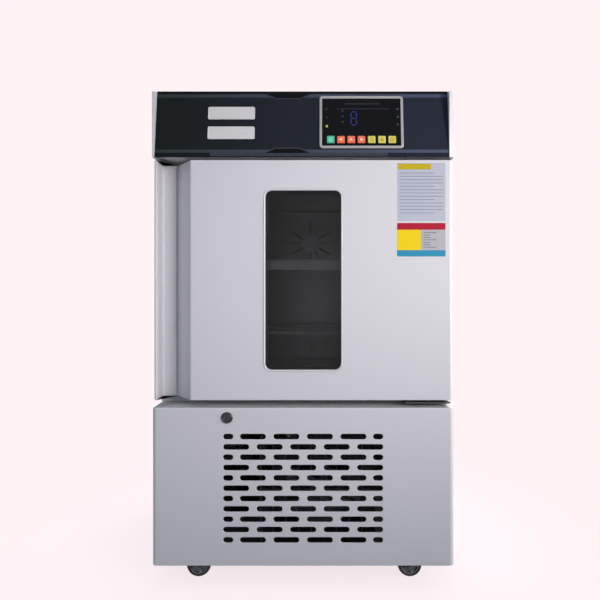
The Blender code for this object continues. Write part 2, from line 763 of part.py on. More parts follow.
def condenser():
    """Finned condenser coil behind the vent slots, with its shroud, motor and fan."""
    floor = CASTER_HEIGHT + SHEET + GAP
    y0 = FRONT + COIL_SETBACK
    finned_coil("condenser", COIL_X, COIL_HALF, y0, COIL_DEPTH, floor, COIL_HEIGHT, COIL_FINS, COIL_TUBES,
                "aluminium")
    plate_y = y0 + COIL_DEPTH + SHROUD_BEHIND_COIL
    centre_z = floor + SHROUD_HALF
    plate = box(COIL_X - SHROUD_HALF, COIL_X + SHROUD_HALF, plate_y, plate_y + SHROUD_THICK, floor,
                floor + 2 * SHROUD_HALF)
    shroud = piece("fan_shroud", plate, "black_plastic")
    outer = COLLAR_R + COLLAR_WALL
    join(shroud, moved(turned([(outer, SHROUD_THICK / 2), (outer, COLLAR_DEPTH)], 32),
                       along_y(COIL_X, plate_y, centre_z)))
    cut(shroud, moved(turned([(COLLAR_R, -PAST), (COLLAR_R, COLLAR_DEPTH + PAST)], 32),
                      along_y(COIL_X, plate_y, centre_z)))
    strut_y = plate_y + COLLAR_DEPTH - STRUT_THICK - SUNK
    for k in range(STRUTS):
        arm = box(-STRUT_WIDTH / 2, STRUT_WIDTH / 2, strut_y, strut_y + STRUT_THICK, 0,
                  COLLAR_R + COLLAR_WALL / 2)
        turn = Matrix.Translation((COIL_X, 0, centre_z)) @ Matrix.Rotation(2 * math.pi * k / STRUTS, 4, "Y")
        join(shroud, moved(arm, turn))
    motor = turned([(SHAFT_R, 0), (SHAFT_R, strut_y - plate_y), (BIG_MOTOR_R, strut_y - plate_y),
                    (BIG_MOTOR_R, strut_y - plate_y + BIG_MOTOR_LENGTH)])
    join(shroud, moved(motor, along_y(COIL_X, plate_y, centre_z)))
    fan("condenser_fan", COIL_X, plate_y + FAN_CLEARANCE, centre_z, BIG_FAN_R, BIG_FAN_HUB_R,
        strut_y - plate_y - 2 * FAN_CLEARANCE, BIG_FAN_BLADES, "grey_plastic")


def frame_loop(x_half, z0, z1, radius, y):
    """A rounded rectangle centred on the cabinet, seen from the front, at one depth."""
    return at_y(rounded(-x_half, x_half, z0, z1, radius), y)


def chamber_shell():
    """Outer casing of the chamber: four walls with a return at the front, open to the back."""
    low, high = DECK_Z + GAP, HEAD_Z - GAP
    r, inner_r = SHELL_R, SHELL_INNER_R
    back, front = SHELL_BACK, SHELL_FRONT
    s, ret = SHEET, SHELL_RETURN
    loops = [frame_loop(HALF, low, high, r, back), frame_loop(HALF, low, high, r, front),
             frame_loop(HALF - ret, low + ret, high - ret, r, front),
             frame_loop(HALF - ret, low + ret, high - ret, r, front + s),
             frame_loop(HALF - s, low + s, high - s, inner_r, front + s),
             frame_loop(HALF - s, low + s, high - s, inner_r, back)]
    piece("chamber_shell", loft(loops, ring=True), "white_paint")


def front_frame():
    """Flat frame round the chamber's mouth, which the door's gasket meets."""
    low, high = DECK_Z + GAP, HEAD_Z - GAP
    loops = [frame_loop(HALF, low, high, SHELL_R, FRAME_Y),
             frame_loop(HALF, low, high, SHELL_R, FRAME_Y + FRAME_THICK),
             frame_loop(CHAMBER_HALF, CHAMBER_BOTTOM, CHAMBER_TOP, CHAMBER_R, FRAME_Y + FRAME_THICK),
             frame_loop(CHAMBER_HALF, CHAMBER_BOTTOM, CHAMBER_TOP, CHAMBER_R, FRAME_Y)]
    piece("front_frame", loft(loops, ring=True), "grey_plastic")


def liner():
    """Stainless tank of the chamber, with a flange behind the front frame."""
    half, low, high, r = CHAMBER_HALF, CHAMBER_BOTTOM, CHAMBER_TOP, CHAMBER_R
    s, flange = SHEET, LINER_FLANGE
    front = SHELL_FRONT
    loops = [frame_loop(half, low, high, r, CHAMBER_BACK), frame_loop(half, low, high, r, front),
             frame_loop(half + flange, low - flange, high + flange, r + flange, front),
             frame_loop(half + flange, low - flange, high + flange, r + flange, front + s),
             frame_loop(half + s, low - s, high + s, r + s, front + s),
             frame_loop(half + s, low - s, high + s, r + s, CHAMBER_BACK + s)]
    piece("liner", loft(loops), "stainless")


def insulation():
    """Foam between the shell and the liner, on five sides."""
    side = SHEET + GAP
    low, high = DECK_Z + GAP + side, HEAD_Z - GAP - side
    half, tank_low, tank_high = CHAMBER_HALF + side, CHAMBER_BOTTOM - side, CHAMBER_TOP + side
    front = SHELL_FRONT + side
    r = CHAMBER_R + side
    loops = [frame_loop(HALF - side, low, high, SHELL_R, SHELL_BACK),
             frame_loop(HALF - side, low, high, SHELL_R, front),
             frame_loop(half, tank_low, tank_high, r, front),
             frame_loop(half, tank_low, tank_high, r, CHAMBER_BACK + side)]
    piece("insulation", loft(loops), "foam")


def rear_covers():
    """Plain cover behind the chamber, and the slotted cover of the machine compartment."""
    piece("rear_panel", box(-HALF, HALF, BACK - SHEET, BACK, DECK_Z + GAP, HEAD_Z - GAP), "white_paint")
    grille = piece("rear_grille", box(-HALF, HALF, BACK - SHEET, BACK, SKIRT_Z, DECK_Z), "white_paint")

    def hole(x, z, width, height):
        outline = rectangle(x - width / 2, x + width / 2, z - height / 2, z + height / 2)
        return loft([at_y(outline, BACK - 2 * SHEET), at_y(outline, BACK + SHEET)])

    slots = [hole(side * REAR_SLOT_X, DECK_Z - REAR_SLOT_DROP - row * REAR_SLOT_PITCH, REAR_SLOT_WIDTH,
                  REAR_SLOT_HEIGHT) for row in range(REAR_SLOTS) for side in (-1, 1)]
    cut(grille, bundle(slots), hole(INLET_X, INLET_Z, INLET_WIDTH + 2 * GAP, INLET_HEIGHT + 2 * GAP))


def power_inlet():
    """Appliance inlet in the rear grille: a lip outside, a body inside and the recess for a plug."""
    lip = centred(INLET_X, INLET_Z, INLET_WIDTH + 2 * INLET_LIP, INLET_HEIGHT + 2 * INLET_LIP, INLET_LIP)
    body = centred(INLET_X, INLET_Z, INLET_WIDTH, INLET_HEIGHT, INLET_LIP / 2)
    mouth = centred(INLET_X, INLET_Z, SOCKET_WIDTH, SOCKET_HEIGHT, INLET_LIP / 2)
    outside = BACK + INLET_PROUD
    loops = [at_y(body, outside - INLET_DEPTH), at_y(body, BACK + GAP), at_y(lip, BACK + GAP),
             at_y(lip, outside), at_y(mouth, outside), at_y(mouth, outside - SOCKET_DEPTH)]
    piece("power_inlet", loft(loops), "black_plastic")


def duct_cover():
    """Air duct over the back wall: a shallow pan with a fan grille and a row of air slots."""
    low, high = CHAMBER_BOTTOM + DUCT_MARGIN_Z, CHAMBER_TOP - DUCT_MARGIN_Z
    s = SHEET
    back = CHAMBER_BACK - GAP
    loops = [frame_loop(DUCT_HALF, low, high, DUCT_R, DUCT_FRONT),
             frame_loop(DUCT_HALF, low, high, DUCT_R, back),
             frame_loop(DUCT_HALF - s, low + s, high - s, DUCT_R - s, back),
             frame_loop(DUCT_HALF - s, low + s, high - s, DUCT_R - s, DUCT_FRONT + s)]
    cover = piece("duct_cover", loft(loops), "stainless")
    ends = (DUCT_FRONT - s, DUCT_FRONT + 2 * s)
    rays = []
    for k in range(GRILLE_SLOTS):
        middle = GRILLE_INNER_R + GRILLE_SLOT_LENGTH / 2
        ray = slot(middle, 0, GRILLE_SLOT_LENGTH, GRILLE_SLOT_WIDTH, *ends, steps=3)
        turn = Matrix.Translation((0, 0, FAN_Z)) @ Matrix.Rotation(2 * math.pi * k / GRILLE_SLOTS, 4, "Y")
        rays.append(moved(ray, turn))
    for k in range(AIR_SLOTS):
        x = (k - (AIR_SLOTS - 1) / 2) * AIR_SLOT_PITCH
        upright = slot(0, 0, AIR_SLOT_LENGTH, GRILLE_SLOT_WIDTH, *ends, steps=3)
        place = Matrix.Translation((x, 0, CHAMBER_BOTTOM + AIR_SLOT_RISE))
        rays.append(moved(upright, place @ Matrix.Rotation(math.pi / 2, 4, "Y")))
    cut(cover, bundle(rays))


def circulation_fan():
    """Fan and its motor behind the grille of the duct cover."""
    fan_y = DUCT_FRONT + SHEET + FAN_BEHIND_GRILLE
    motor_back = CHAMBER_BACK - GAP
    shaft = motor_back - FAN_MOTOR_LENGTH - fan_y
    motor = turned([(SHAFT_R, 0), (SHAFT_R, shaft), (FAN_MOTOR_R, shaft), (FAN_MOTOR_R, motor_back - fan_y)])
    piece("fan_motor", moved(motor, along_y(0, fan_y, FAN_Z)), "zinc")
    fan("circulation_fan", 0, fan_y, FAN_Z, FAN_R, FAN_HUB_R, shaft - FAN_CLEARANCE, FAN_BLADES, "aluminium")


def evaporator():
    """Finned evaporator below the fan, on end plates that stand off the back wall."""
    stand_off = CHAMBER_BACK - GAP - DUCT_FRONT - SHEET - FAN_BEHIND_GRILLE - EVAP_DEPTH
    y0 = CHAMBER_BACK - GAP - stand_off - EVAP_DEPTH
    finned_coil("evaporator", 0, DUCT_HALF - EVAP_MARGIN_X, y0, EVAP_DEPTH, CHAMBER_BOTTOM + EVAP_RISE,
                EVAP_HEIGHT, EVAP_FINS, EVAP_TUBES, "aluminium", foot_depth=stand_off)


def shelf_runs():
    """Front and back of the shelves, from the frame to the duct cover."""
    return SHELL_FRONT + SHELF_SETBACK, DUCT_FRONT - SHELF_BACK_GAP


def shelf(name, level):
    """Bar shelf: a flat frame with a middle cross bar and bars from front to back."""
    half = CHAMBER_HALF - GAP - SUPPORT_SHEET - SHELF_SIDE_GAP
    front, back = shelf_runs()
    low = level + GAP
    rack = piece(name, box(-half, half, front, back, low, low + SHELF_THICK), "stainless")
    run = 2 * (half - SHELF_EDGE)
    pitch = (run + SHELF_BAR) / (SHELF_BARS + 1)
    middle = (front + back) / 2
    holes = []
    for k in range(SHELF_BARS + 1):
        x = -half + SHELF_EDGE + k * pitch
        for y0, y1 in ((front + SHELF_EDGE, middle - SHELF_BAR), (middle + SHELF_BAR, back - SHELF_EDGE)):
            holes.append(box(x, x + pitch - SHELF_BAR, y0, y1, low - PAST, low + SHELF_THICK + PAST))
    cut(rack, bundle(holes))


def shelf_support(name, side):
    """Side ladder for the shelves: two upright strips, rails at the ends and inward runners."""
    front, back = SHELL_FRONT + SUPPORT_SETBACK, DUCT_FRONT - SUPPORT_SETBACK
    low, high = CHAMBER_BOTTOM + SUPPORT_MARGIN_Z, CHAMBER_TOP - SUPPORT_MARGIN_Z
    wall = side * (CHAMBER_HALF - GAP)
    face = side * (CHAMBER_HALF - GAP - SUPPORT_SHEET)
    x0, x1 = sorted((wall, face))
    ladder = piece(name, box(x0, x1, front, back, low, high), "stainless")
    levels = [SHELF_LEVEL + k * SHELF_PITCH for k in range(-RUNNERS_BELOW + 1, RUNNERS_ABOVE + 1)]
    rungs = [low] + levels + [high]
    holes = []
    for below, above in zip(rungs, rungs[1:]):
        holes.append(box(x0 - PAST, x1 + PAST, front + SUPPORT_STRIP, back - SUPPORT_STRIP,
                         below + SUPPORT_RAIL / 2, above - SUPPORT_RAIL / 2))
    cut(ladder, bundle(holes))
    runners = []
    for level in levels:
        inner = side * (CHAMBER_HALF - GAP - SUPPORT_SHEET - RUNNER_WIDTH)
        root = side * (CHAMBER_HALF - GAP - SUPPORT_SHEET / 2)
        r0, r1 = sorted((inner, root))
        runners.append(box(r0, r1, front + RUNNER_INSET, back - RUNNER_INSET, level - SHEET, level))
    join(ladder, bundle(runners))


def sensor_probe():
    """Temperature probe that points forward from the duct cover."""
    profile = [(PROBE_BASE_R, GAP), (PROBE_BASE_R, GAP + PROBE_BASE), (PROBE_R, GAP + PROBE_BASE),
               (PROBE_R, GAP + PROBE_LENGTH)]
    place = Matrix.Translation((PROBE_X, DUCT_FRONT, CHAMBER_TOP - PROBE_DROP))
    probe = moved(turned(profile, 16), place @ Matrix.Rotation(math.pi / 2, 4, "X"))
    piece("sensor_probe", probe, "stainless")


def hinges():
    """Hinge plates above and below the door, each with its pin."""
    x0, x1 = HINGE_X - HINGE_PLATE_SPAN, DOOR_HALF - HINGE_PLATE_INSET
    y0, y1 = FRONT + HINGE_PLATE_FRONT, FRAME_Y - GAP
    middle = (DECK_Z + DOOR_BOTTOM) / 2
    low = middle - HINGE_PLATE_THICK / 2
    lower = piece("hinge_lower", box(x0, x1, y0, y1, low, low + HINGE_PLATE_THICK), "zinc")
    at_axis = Matrix.Translation((HINGE_X, HINGE_Y, 0))
    pin = turned([(HINGE_COLLAR_R, low + SUNK), (HINGE_COLLAR_R, DOOR_BOTTOM - GAP),
                  (HINGE_PIN_R, DOOR_BOTTOM - GAP), (HINGE_PIN_R, DOOR_BOTTOM + HINGE_PIN_LENGTH)], 16)
    join(lower, moved(pin, at_axis),
         box(x0 + HINGE_WEB_INSET, x1 - HINGE_WEB_INSET, y1 - HINGE_PLATE_THICK, y1 - SUNK, DECK_Z + GAP,
             DOOR_BOTTOM - HINGE_WEB_DROP))
    high = HEAD_Z - GAP - HINGE_PLATE_THICK
    upper = piece("hinge_upper", box(x0, x1, y0, y1, high, HEAD_Z - GAP), "zinc")
    pin = turned([(HINGE_PIN_R, DOOR_TOP - HINGE_PIN_LENGTH), (HINGE_PIN_R, DOOR_TOP + GAP),
                  (HINGE_COLLAR_R, DOOR_TOP + GAP), (HINGE_COLLAR_R, high + SUNK)], 16)
    join(upper, moved(pin, at_axis))


def grip_outline():
    """Plan of the grip channel: lip, straight wall, flat floor and a slanted wall up to the skin."""
    x0 = -DOOR_HALF
    mouth = x0 + GRIP_WIDTH
    inner = x0 + GRIP_LIP
    floor = FRONT + GRIP_DEPTH
    floor_end = inner + GRIP_FLOOR
    wall = GRIP_WALL
    r = GRIP_CORNER_R
    run, rise = mouth - GRIP_LAND - floor_end, GRIP_DEPTH
    slant = math.degrees(math.atan2(rise, run))
    half_turn = math.radians(slant / 2)
    tangent = r * math.tan(half_turn)
    back_shift = wall / math.sin(math.radians(slant))
    return (arc(x0 + GRIP_LIP_R, FRONT + GRIP_LIP_R, GRIP_LIP_R, 180, 270, 3)
            + [(inner, FRONT)]
            + arc(inner + r, floor - r, r, 180, 90, 4)
            + arc(floor_end - tangent, floor - r, r, 90, 90 - slant, 4)
            + [(mouth - GRIP_LAND, FRONT), (mouth, FRONT), (mouth, FRONT + wall),
               (mouth - GRIP_LAND + back_shift - wall * run / rise, FRONT + wall),
               (floor_end + back_shift - wall * run / rise, floor + wall), (x0, floor + wall)])


def door_skin():
    """Painted front pan of the door, open to the back and to the grip channel."""
    x0, x1 = -DOOR_HALF + GRIP_WIDTH + GAP, DOOR_HALF
    r = DOOR_EDGE_R
    plan = [(x0, FRONT)] + arc(x1 - r, FRONT + r, r, 270, 360, 4) + [(x1, CORE_BACK), (x0, CORE_BACK)]
    skin = piece("door_skin", loft([at_z(plan, DOOR_BOTTOM), at_z(plan, DOOR_TOP)]), "white_paint")
    s, ir = SHEET, r - SHEET
    hollow = ([(x0 - PAST, FRONT + s)] + arc(x1 - s - ir, FRONT + s + ir, ir, 270, 360, 4)
              + [(x1 - s, CORE_BACK + PAST), (x0 - PAST, CORE_BACK + PAST)])
    bores = turned([(BUSH_R + GAP, DOOR_BOTTOM - PAST), (BUSH_R + GAP, DOOR_TOP + PAST)], 20)
    cut(skin, loft([at_z(hollow, DOOR_BOTTOM + s), at_z(hollow, DOOR_TOP - s)]), window_hole(),
        moved(bores, Matrix.Translation((HINGE_X, HINGE_Y, 0))))


def window_hole():
    """Hole for the window frame, right through the door."""
    grow = 2 * (WINDOW_RIM + GAP)
    outline = centred(0, WINDOW_Z, WINDOW_WIDTH + grow, WINDOW_HEIGHT + grow, WINDOW_R + WINDOW_RIM + GAP)
    return loft([at_y(outline, FRONT - PAST), at_y(outline, DOOR_BACK + INNER_FIELD + PAST)])


def door_core():
    """Foam core between the skin, the grip channel and the inner panel."""
    outline = grip_outline()
    slant_front, slant_back = outline[-3], outline[-2]
    s = SHEET + GAP
    shift = 2 * GAP
    x1 = DOOR_HALF - s
    r = DOOR_EDGE_R - s
    left = max(slant_front[0] + shift, -DOOR_HALF + GRIP_WIDTH + 2 * GAP)
    plan = ([(left, FRONT + s)] + arc(x1 - r, FRONT + s + r, r, 270, 360, 4)
            + [(x1, CORE_BACK), (slant_back[0] + shift, CORE_BACK), (slant_back[0] + shift, slant_back[1]),
               (left, slant_front[1] + shift)])
    core = piece("door_core", loft([at_z(plan, DOOR_BOTTOM + s), at_z(plan, DOOR_TOP - s)]), "foam")
    cut(core, window_hole())
    depth = BUSH_LENGTH + GAP
    for low, high in ((DOOR_BOTTOM, DOOR_BOTTOM + depth), (DOOR_TOP - depth, DOOR_TOP)):
        well = turned([(BUSH_R + GAP, low), (BUSH_R + GAP, high)], 20)
        cut(core, moved(well, Matrix.Translation((HINGE_X, HINGE_Y, 0))))


def door_inner_panel():
    """Moulded inner face of the door, with a raised field inside the gasket."""
    y0 = DOOR_BACK - INNER_PANEL
    outline = rounded(-DOOR_HALF, DOOR_HALF, DOOR_BOTTOM, DOOR_TOP, INNER_PANEL_R)
    panel = piece("door_inner_panel", loft([at_y(outline, y0), at_y(outline, DOOR_BACK)]), "white_plastic")
    half = DOOR_HALF - INNER_FIELD_MARGIN_X
    trim = WINDOW_HEIGHT / 2 + WINDOW_RIM
    band = (DOOR_TOP - DOOR_BOTTOM) / 2 - GASKET_MARGIN_Z - GASKET_WIDTH - trim
    reach = trim + band * INNER_FIELD_MARGIN_Z / (INNER_FIELD_MARGIN_Z + INNER_FIELD_SEAL_Z)

    def loop(inset, y):
        return at_y(centred(0, WINDOW_Z, 2 * (half - inset), 2 * (reach - inset), CHAMBER_R), y)

    join(panel, loft([loop(0, DOOR_BACK - SUNK), loop(INNER_FIELD, DOOR_BACK + INNER_FIELD)]))
    cut(panel, window_hole())


def window():
    """Window unit: a deep frame with a pane near each end."""
    width, height, r = WINDOW_WIDTH, WINDOW_HEIGHT, WINDOW_R
    back = DOOR_BACK + INNER_FIELD

    def loop(grow, y):
        return at_y(centred(0, WINDOW_Z, width + 2 * grow, height + 2 * grow, r + grow), y)

    rim = WINDOW_RIM
    loops = [loop(rim, FRONT), loop(rim, back), loop(0, back), loop(0, FRONT + RIM_BEVEL),
             loop(RIM_BEVEL, FRONT)]
    piece("window_frame", loft(loops, ring=True), "white_plastic")
    for name, y in (("outer_glass", FRONT + GLASS_SETBACK),
                    ("inner_glass", back - GLASS_SETBACK - GLASS_THICK)):
        piece(name, loft([loop(-GAP, y), loop(-GAP, y + GLASS_THICK)]), "tinted_glass")


def gasket():
    """Soft magnetic seal round the inner face of the door."""
    half = DOOR_HALF - GASKET_MARGIN_X
    low, high = DOOR_BOTTOM + GASKET_MARGIN_Z, DOOR_TOP - GASKET_MARGIN_Z
    y0 = DOOR_BACK + GAP
    y1 = y0 + GASKET_THICK
    w, neck = GASKET_WIDTH, GASKET_WAIST
    waist = (y0 + y1) / 2
    r = CHAMBER_R

    def loop(inset, y):
        return at_y(rounded(-half + inset, half - inset, low + inset, high - inset, r + w - inset), y)

    piece("gasket", loft([loop(0, y0), loop(neck, waist), loop(0, y1), loop(w, y1), loop(w - neck, waist),
                          loop(w, y0)], ring=True), "rubber")


def hinge_bushes():
    """Bushes in the door's top and bottom that turn on the hinge pins."""
    for name, low in (("bush_lower", DOOR_BOTTOM), ("bush_upper", DOOR_TOP - BUSH_LENGTH)):
        ring = turned([(BUSH_BORE_R, low), (BUSH_R, low), (BUSH_R, low + BUSH_LENGTH),
                       (BUSH_BORE_R, low + BUSH_LENGTH)], 16, ring=True)
        piece(name, moved(ring, Matrix.Translation((HINGE_X, HINGE_Y, 0))), "grey_plastic")


def door():
    """All pieces of the door, carried by an empty on the hinge axis."""
    before = set(bpy.data.objects)
    channel = loft([at_z(grip_outline(), DOOR_BOTTOM), at_z(grip_outline(), DOOR_TOP)])
    piece("grip_channel", channel, "white_paint")
    door_skin()
    door_core()
    door_inner_panel()
    window()
    gasket()
    hinge_bushes()
    made = set(bpy.data.objects) - before
    axis = axis_at("door_hinge_axis", (HINGE_X, HINGE_Y, DOOR_BOTTOM))
    for obj in made:
        obj.parent = axis
        obj.matrix_parent_inverse = Matrix.Translation(axis.location).inverted()


def nose_inset(depth, radius):
    """How far a round upright edge lies in from its side, at a depth behind the front."""
    return radius - math.sqrt(radius ** 2 - max(radius - depth, 0) ** 2)


def head_section(depth):
    """Outline of the control head at a depth behind its front, drawn in at its round upright edges."""
    r = HEAD_EDGE_R
    outline = ([(-HALF, HEAD_Z), (HALF, HEAD_Z)] + arc(HALF - r, TOP_Z - r, r, 0, 90, 4)
               + arc(-HALF + r, TOP_Z - r, r, 90, 180, 4))
    left = 1 - nose_inset(depth, LEFT_NOSE_R) / HALF
    right = 1 - nose_inset(depth, RIGHT_NOSE_R) / HALF
    return at_y([(x * (right if x > 0 else left), z) for x, z in outline], FRONT + depth)


def head_shell():
    """Housing of the control head: a thin left cheek and a thick right one, open where the fascia sits."""
    s = SHEET
    rounds = [RIGHT_NOSE_R * (1 - math.cos(math.pi / 2 * k / NOSE_STEPS)) for k in range(NOSE_STEPS + 1)]
    sections = [head_section(depth) for depth in rounds + [BODY_DEPTH]]
    shell = piece("head_shell", loft(sections), "white_paint")
    lean = FASCIA_LEAN
    seat = FASCIA_THICK / math.cos(FASCIA_ANGLE) + GAP
    past = HEAD_PAST
    slope = lean / HEAD_HEIGHT
    opening = [(FRONT - past, HEAD_Z - past), (FRONT + seat - past * slope, HEAD_Z - past),
               (FRONT + seat + lean + past * slope, TOP_Z + past), (FRONT - past, TOP_Z + past)]
    x0, x1 = FASCIA_LEFT - GAP, FASCIA_RIGHT + GAP
    room_front = FRONT + lean + CHEEK_DEPTH
    cut(shell, loft([at_x(opening, x0), at_x(opening, x1)]),
        box(x0 + s, x1 - s, FRONT, room_front + PAST, HEAD_Z + s, TOP_Z - s),
        box(-HALF + s, HALF - s, room_front, BACK - s, HEAD_Z + s, TOP_Z - s))


def fascia():
    """Black front of the control head, leaning back between the cheeks, with all that sits on it."""
    frame = axis_at("fascia_frame", (0, FRONT, HEAD_Z), (-FASCIA_ANGLE, 0, 0))
    board = box(FASCIA_LEFT, FASCIA_RIGHT, 0, FASCIA_THICK, 0, FASCIA_HEIGHT)
    board = piece("fascia", board, "black_gloss", frame)
    ledge_w = DISPLAY_WIDTH - 2 * (DISPLAY_BAR - DISPLAY_LEDGE)
    ledge_h = DISPLAY_HEIGHT - 2 * (DISPLAY_BAR - DISPLAY_LEDGE)
    opening = centred(DISPLAY_X, DISPLAY_Z, ledge_w + 2 * GAP, ledge_h + 2 * GAP, DISPLAY_R)
    cut(board, loft([at_y(opening, -PAST), at_y(opening, FASCIA_THICK + PAST)]))
    bezel(frame, ledge_w, ledge_h)
    display(frame, ledge_w, ledge_h)
    for name, z in (("label_plate_upper", PLATE_UPPER_Z), ("label_plate_lower", PLATE_LOWER_Z)):
        outline = centred(PLATE_X, z, PLATE_WIDTH, PLATE_HEIGHT, PLATE_R)
        piece(name, loft([at_y(outline, -GAP - PLATE_THICK), at_y(outline, -GAP)]), "silver", frame)


def bezel(frame, ledge_w, ledge_h):
    """Silver frame round the display, with a ledge behind its lip."""
    outer = centred(DISPLAY_X, DISPLAY_Z, DISPLAY_WIDTH, DISPLAY_HEIGHT, DISPLAY_R)
    seat = centred(DISPLAY_X, DISPLAY_Z, ledge_w + 2 * GAP, ledge_h + 2 * GAP, DISPLAY_R)
    mouth = centred(DISPLAY_X, DISPLAY_Z, DISPLAY_WIDTH - 2 * DISPLAY_BAR, DISPLAY_HEIGHT - 2 * DISPLAY_BAR,
                    DISPLAY_R / 2)
    front, lip = -BEZEL_PROUD, BEZEL_LIP - BEZEL_PROUD
    loops = [at_y(outer, -GAP), at_y(outer, front), at_y(mouth, front), at_y(mouth, lip), at_y(seat, lip),
             at_y(seat, -GAP)]
    piece("display_bezel", loft(loops, ring=True), "silver", frame)


def key_xs():
    """Places of the keys across the display."""
    return [DISPLAY_X + (k - (KEYS - 1) / 2) * KEY_PITCH for k in range(KEYS)]


def display(frame, ledge_w, ledge_h):
    """Display panel with its keys, and the controller case behind them."""
    front = BEZEL_LIP - BEZEL_PROUD + GAP
    back = front + PANEL_THICK
    outline = centred(DISPLAY_X, DISPLAY_Z, ledge_w, ledge_h, DISPLAY_R)
    panel = piece("display_panel", loft([at_y(outline, front), at_y(outline, back)]), "black_gloss", frame)
    holes = []
    for x in key_xs():
        hole = centred(x, KEY_Z, KEY_SIZE + 2 * GAP, KEY_SIZE + 2 * GAP, KEY_R + GAP, 2)
        holes.append(loft([at_y(hole, front - PAST), at_y(hole, back + PAST)]))
    cut(panel, bundle(holes))
    finishes = ["teal"] + ["orange"] * 3 + ["yellow"] * 3
    for k, (x, finish) in enumerate(zip(key_xs(), finishes)):
        key_axis = axis_at("key_%d_axis" % (k + 1), (x, front, KEY_Z))
        key_axis.parent = frame
        cap = centred(0, 0, KEY_SIZE, KEY_SIZE, KEY_R, 2)
        flange = centred(0, 0, KEY_SIZE + 2 * KEY_RIM, KEY_SIZE + 2 * KEY_RIM, KEY_R + KEY_RIM, 2)
        heel = PANEL_THICK + GAP
        piece("key_%d" % (k + 1), loft([at_y(cap, -KEY_PROUD), at_y(cap, heel), at_y(flange, heel),
                                        at_y(flange, heel + KEY_FLANGE)]), finish, key_axis)
    pocket = back + GAP + KEY_FLANGE + KEY_TRAVEL + KEY_SPARE
    outer = centred(DISPLAY_X, DISPLAY_Z, ledge_w - CASE_MARGIN, ledge_h - CASE_MARGIN, DISPLAY_R)
    inner = centred(DISPLAY_X, DISPLAY_Z, ledge_w - 2 * CASE_MARGIN, ledge_h - 2 * CASE_MARGIN, DISPLAY_R)
    piece("controller_case", loft([at_y(inner, pocket), at_y(inner, back + GAP), at_y(outer, back + GAP),
                                   at_y(outer, back + CASE_DEPTH)]), "grey_plastic", frame)


def main():
    """Build the whole incubator."""
    clear_scene()
    lower_shell()
    deck()
    base_plate()
    casters()
    lock()
    compressor()
    condenser()
    chamber_shell()
    front_frame()
    liner()
    insulation()
    rear_covers()
    power_inlet()
    duct_cover()
    circulation_fan()
    evaporator()
    shelf("shelf_upper", SHELF_LEVEL)
    shelf("shelf_lower", LOWER_SHELF_LEVEL)
    shelf_support("shelf_support_left", -1)
    shelf_support("shelf_support_right", 1)
    sensor_probe()
    hinges()
    door()
    head_shell()
    fascia()


main()
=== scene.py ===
"""Looks of the biochemical incubator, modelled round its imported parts, as an add-on that runs as a script."""
import json
import math
from functools import cache

import bmesh
import bpy
import numpy as np
from bpy.props import FloatProperty, FloatVectorProperty, IntProperty, PointerProperty
from mathutils import Matrix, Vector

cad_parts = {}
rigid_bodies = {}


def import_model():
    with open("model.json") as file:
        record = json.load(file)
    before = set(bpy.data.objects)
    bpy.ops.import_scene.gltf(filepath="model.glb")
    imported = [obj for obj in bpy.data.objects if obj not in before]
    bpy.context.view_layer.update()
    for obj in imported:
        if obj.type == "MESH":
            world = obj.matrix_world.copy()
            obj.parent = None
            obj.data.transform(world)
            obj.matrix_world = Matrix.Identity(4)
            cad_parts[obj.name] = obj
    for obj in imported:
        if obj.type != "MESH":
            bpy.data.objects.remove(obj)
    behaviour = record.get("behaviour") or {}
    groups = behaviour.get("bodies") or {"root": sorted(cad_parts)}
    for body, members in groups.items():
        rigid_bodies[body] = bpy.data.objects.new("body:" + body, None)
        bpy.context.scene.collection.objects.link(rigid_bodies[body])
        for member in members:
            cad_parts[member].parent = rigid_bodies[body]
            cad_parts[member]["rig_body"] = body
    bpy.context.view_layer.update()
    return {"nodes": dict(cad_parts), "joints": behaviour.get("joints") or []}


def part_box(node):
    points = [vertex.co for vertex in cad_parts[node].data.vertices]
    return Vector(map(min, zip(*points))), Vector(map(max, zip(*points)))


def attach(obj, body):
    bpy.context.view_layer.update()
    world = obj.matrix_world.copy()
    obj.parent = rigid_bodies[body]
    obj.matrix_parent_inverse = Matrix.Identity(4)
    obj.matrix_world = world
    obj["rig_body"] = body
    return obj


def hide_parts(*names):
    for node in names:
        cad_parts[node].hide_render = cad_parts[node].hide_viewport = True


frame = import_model()

bl_info = {
    "name": "Incubator finishes",
    "version": (1, 0, 0),
    "blender": (4, 5, 0),
    "location": "3D View > Sidebar > Incubator",
    "description": "Models and finishes the visible surfaces of a laboratory incubator",
    "category": "Add Mesh",
}

MM = 0.001
MERGE = 0.01 * MM  # points nearer than this become one
GAP = 0.3 * MM  # clearance between a piece and the edge round it
SHARP = math.radians(35)  # faces that meet at a larger angle keep a crisp edge

LOW = {name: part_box(name)[0] for name in frame["nodes"]}
HIGH = {name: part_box(name)[1] for name in frame["nodes"]}
PIVOT = {joint["child"]: joint["pos_m"] for joint in frame["joints"] if "pos_m" in joint}

FRONT = LOW["lower_shell"].y
BACK = HIGH["rear_panel"].y
HALF = HIGH["deck"].x
SKIRT_Z = LOW["lower_shell"].z
DECK_Z = HIGH["deck"].z
HEAD_Z = LOW["head_shell"].z
TOP_Z = HIGH["head_shell"].z
DOOR_LEFT = LOW["door_inner_panel"].x
DOOR_RIGHT = HIGH["door_inner_panel"].x
DOOR_BOTTOM = LOW["door_inner_panel"].z
DOOR_TOP = HIGH["door_inner_panel"].z
CORE_BACK = HIGH["door_skin"].y
WINDOW_X = (LOW["outer_glass"].x + HIGH["outer_glass"].x) / 2
WINDOW_Z = (LOW["outer_glass"].z + HIGH["outer_glass"].z) / 2
CASTERS = ("front_left", "front_right", "rear_left", "rear_right")
KEYS = tuple("key_%d" % number for number in range(1, 8))


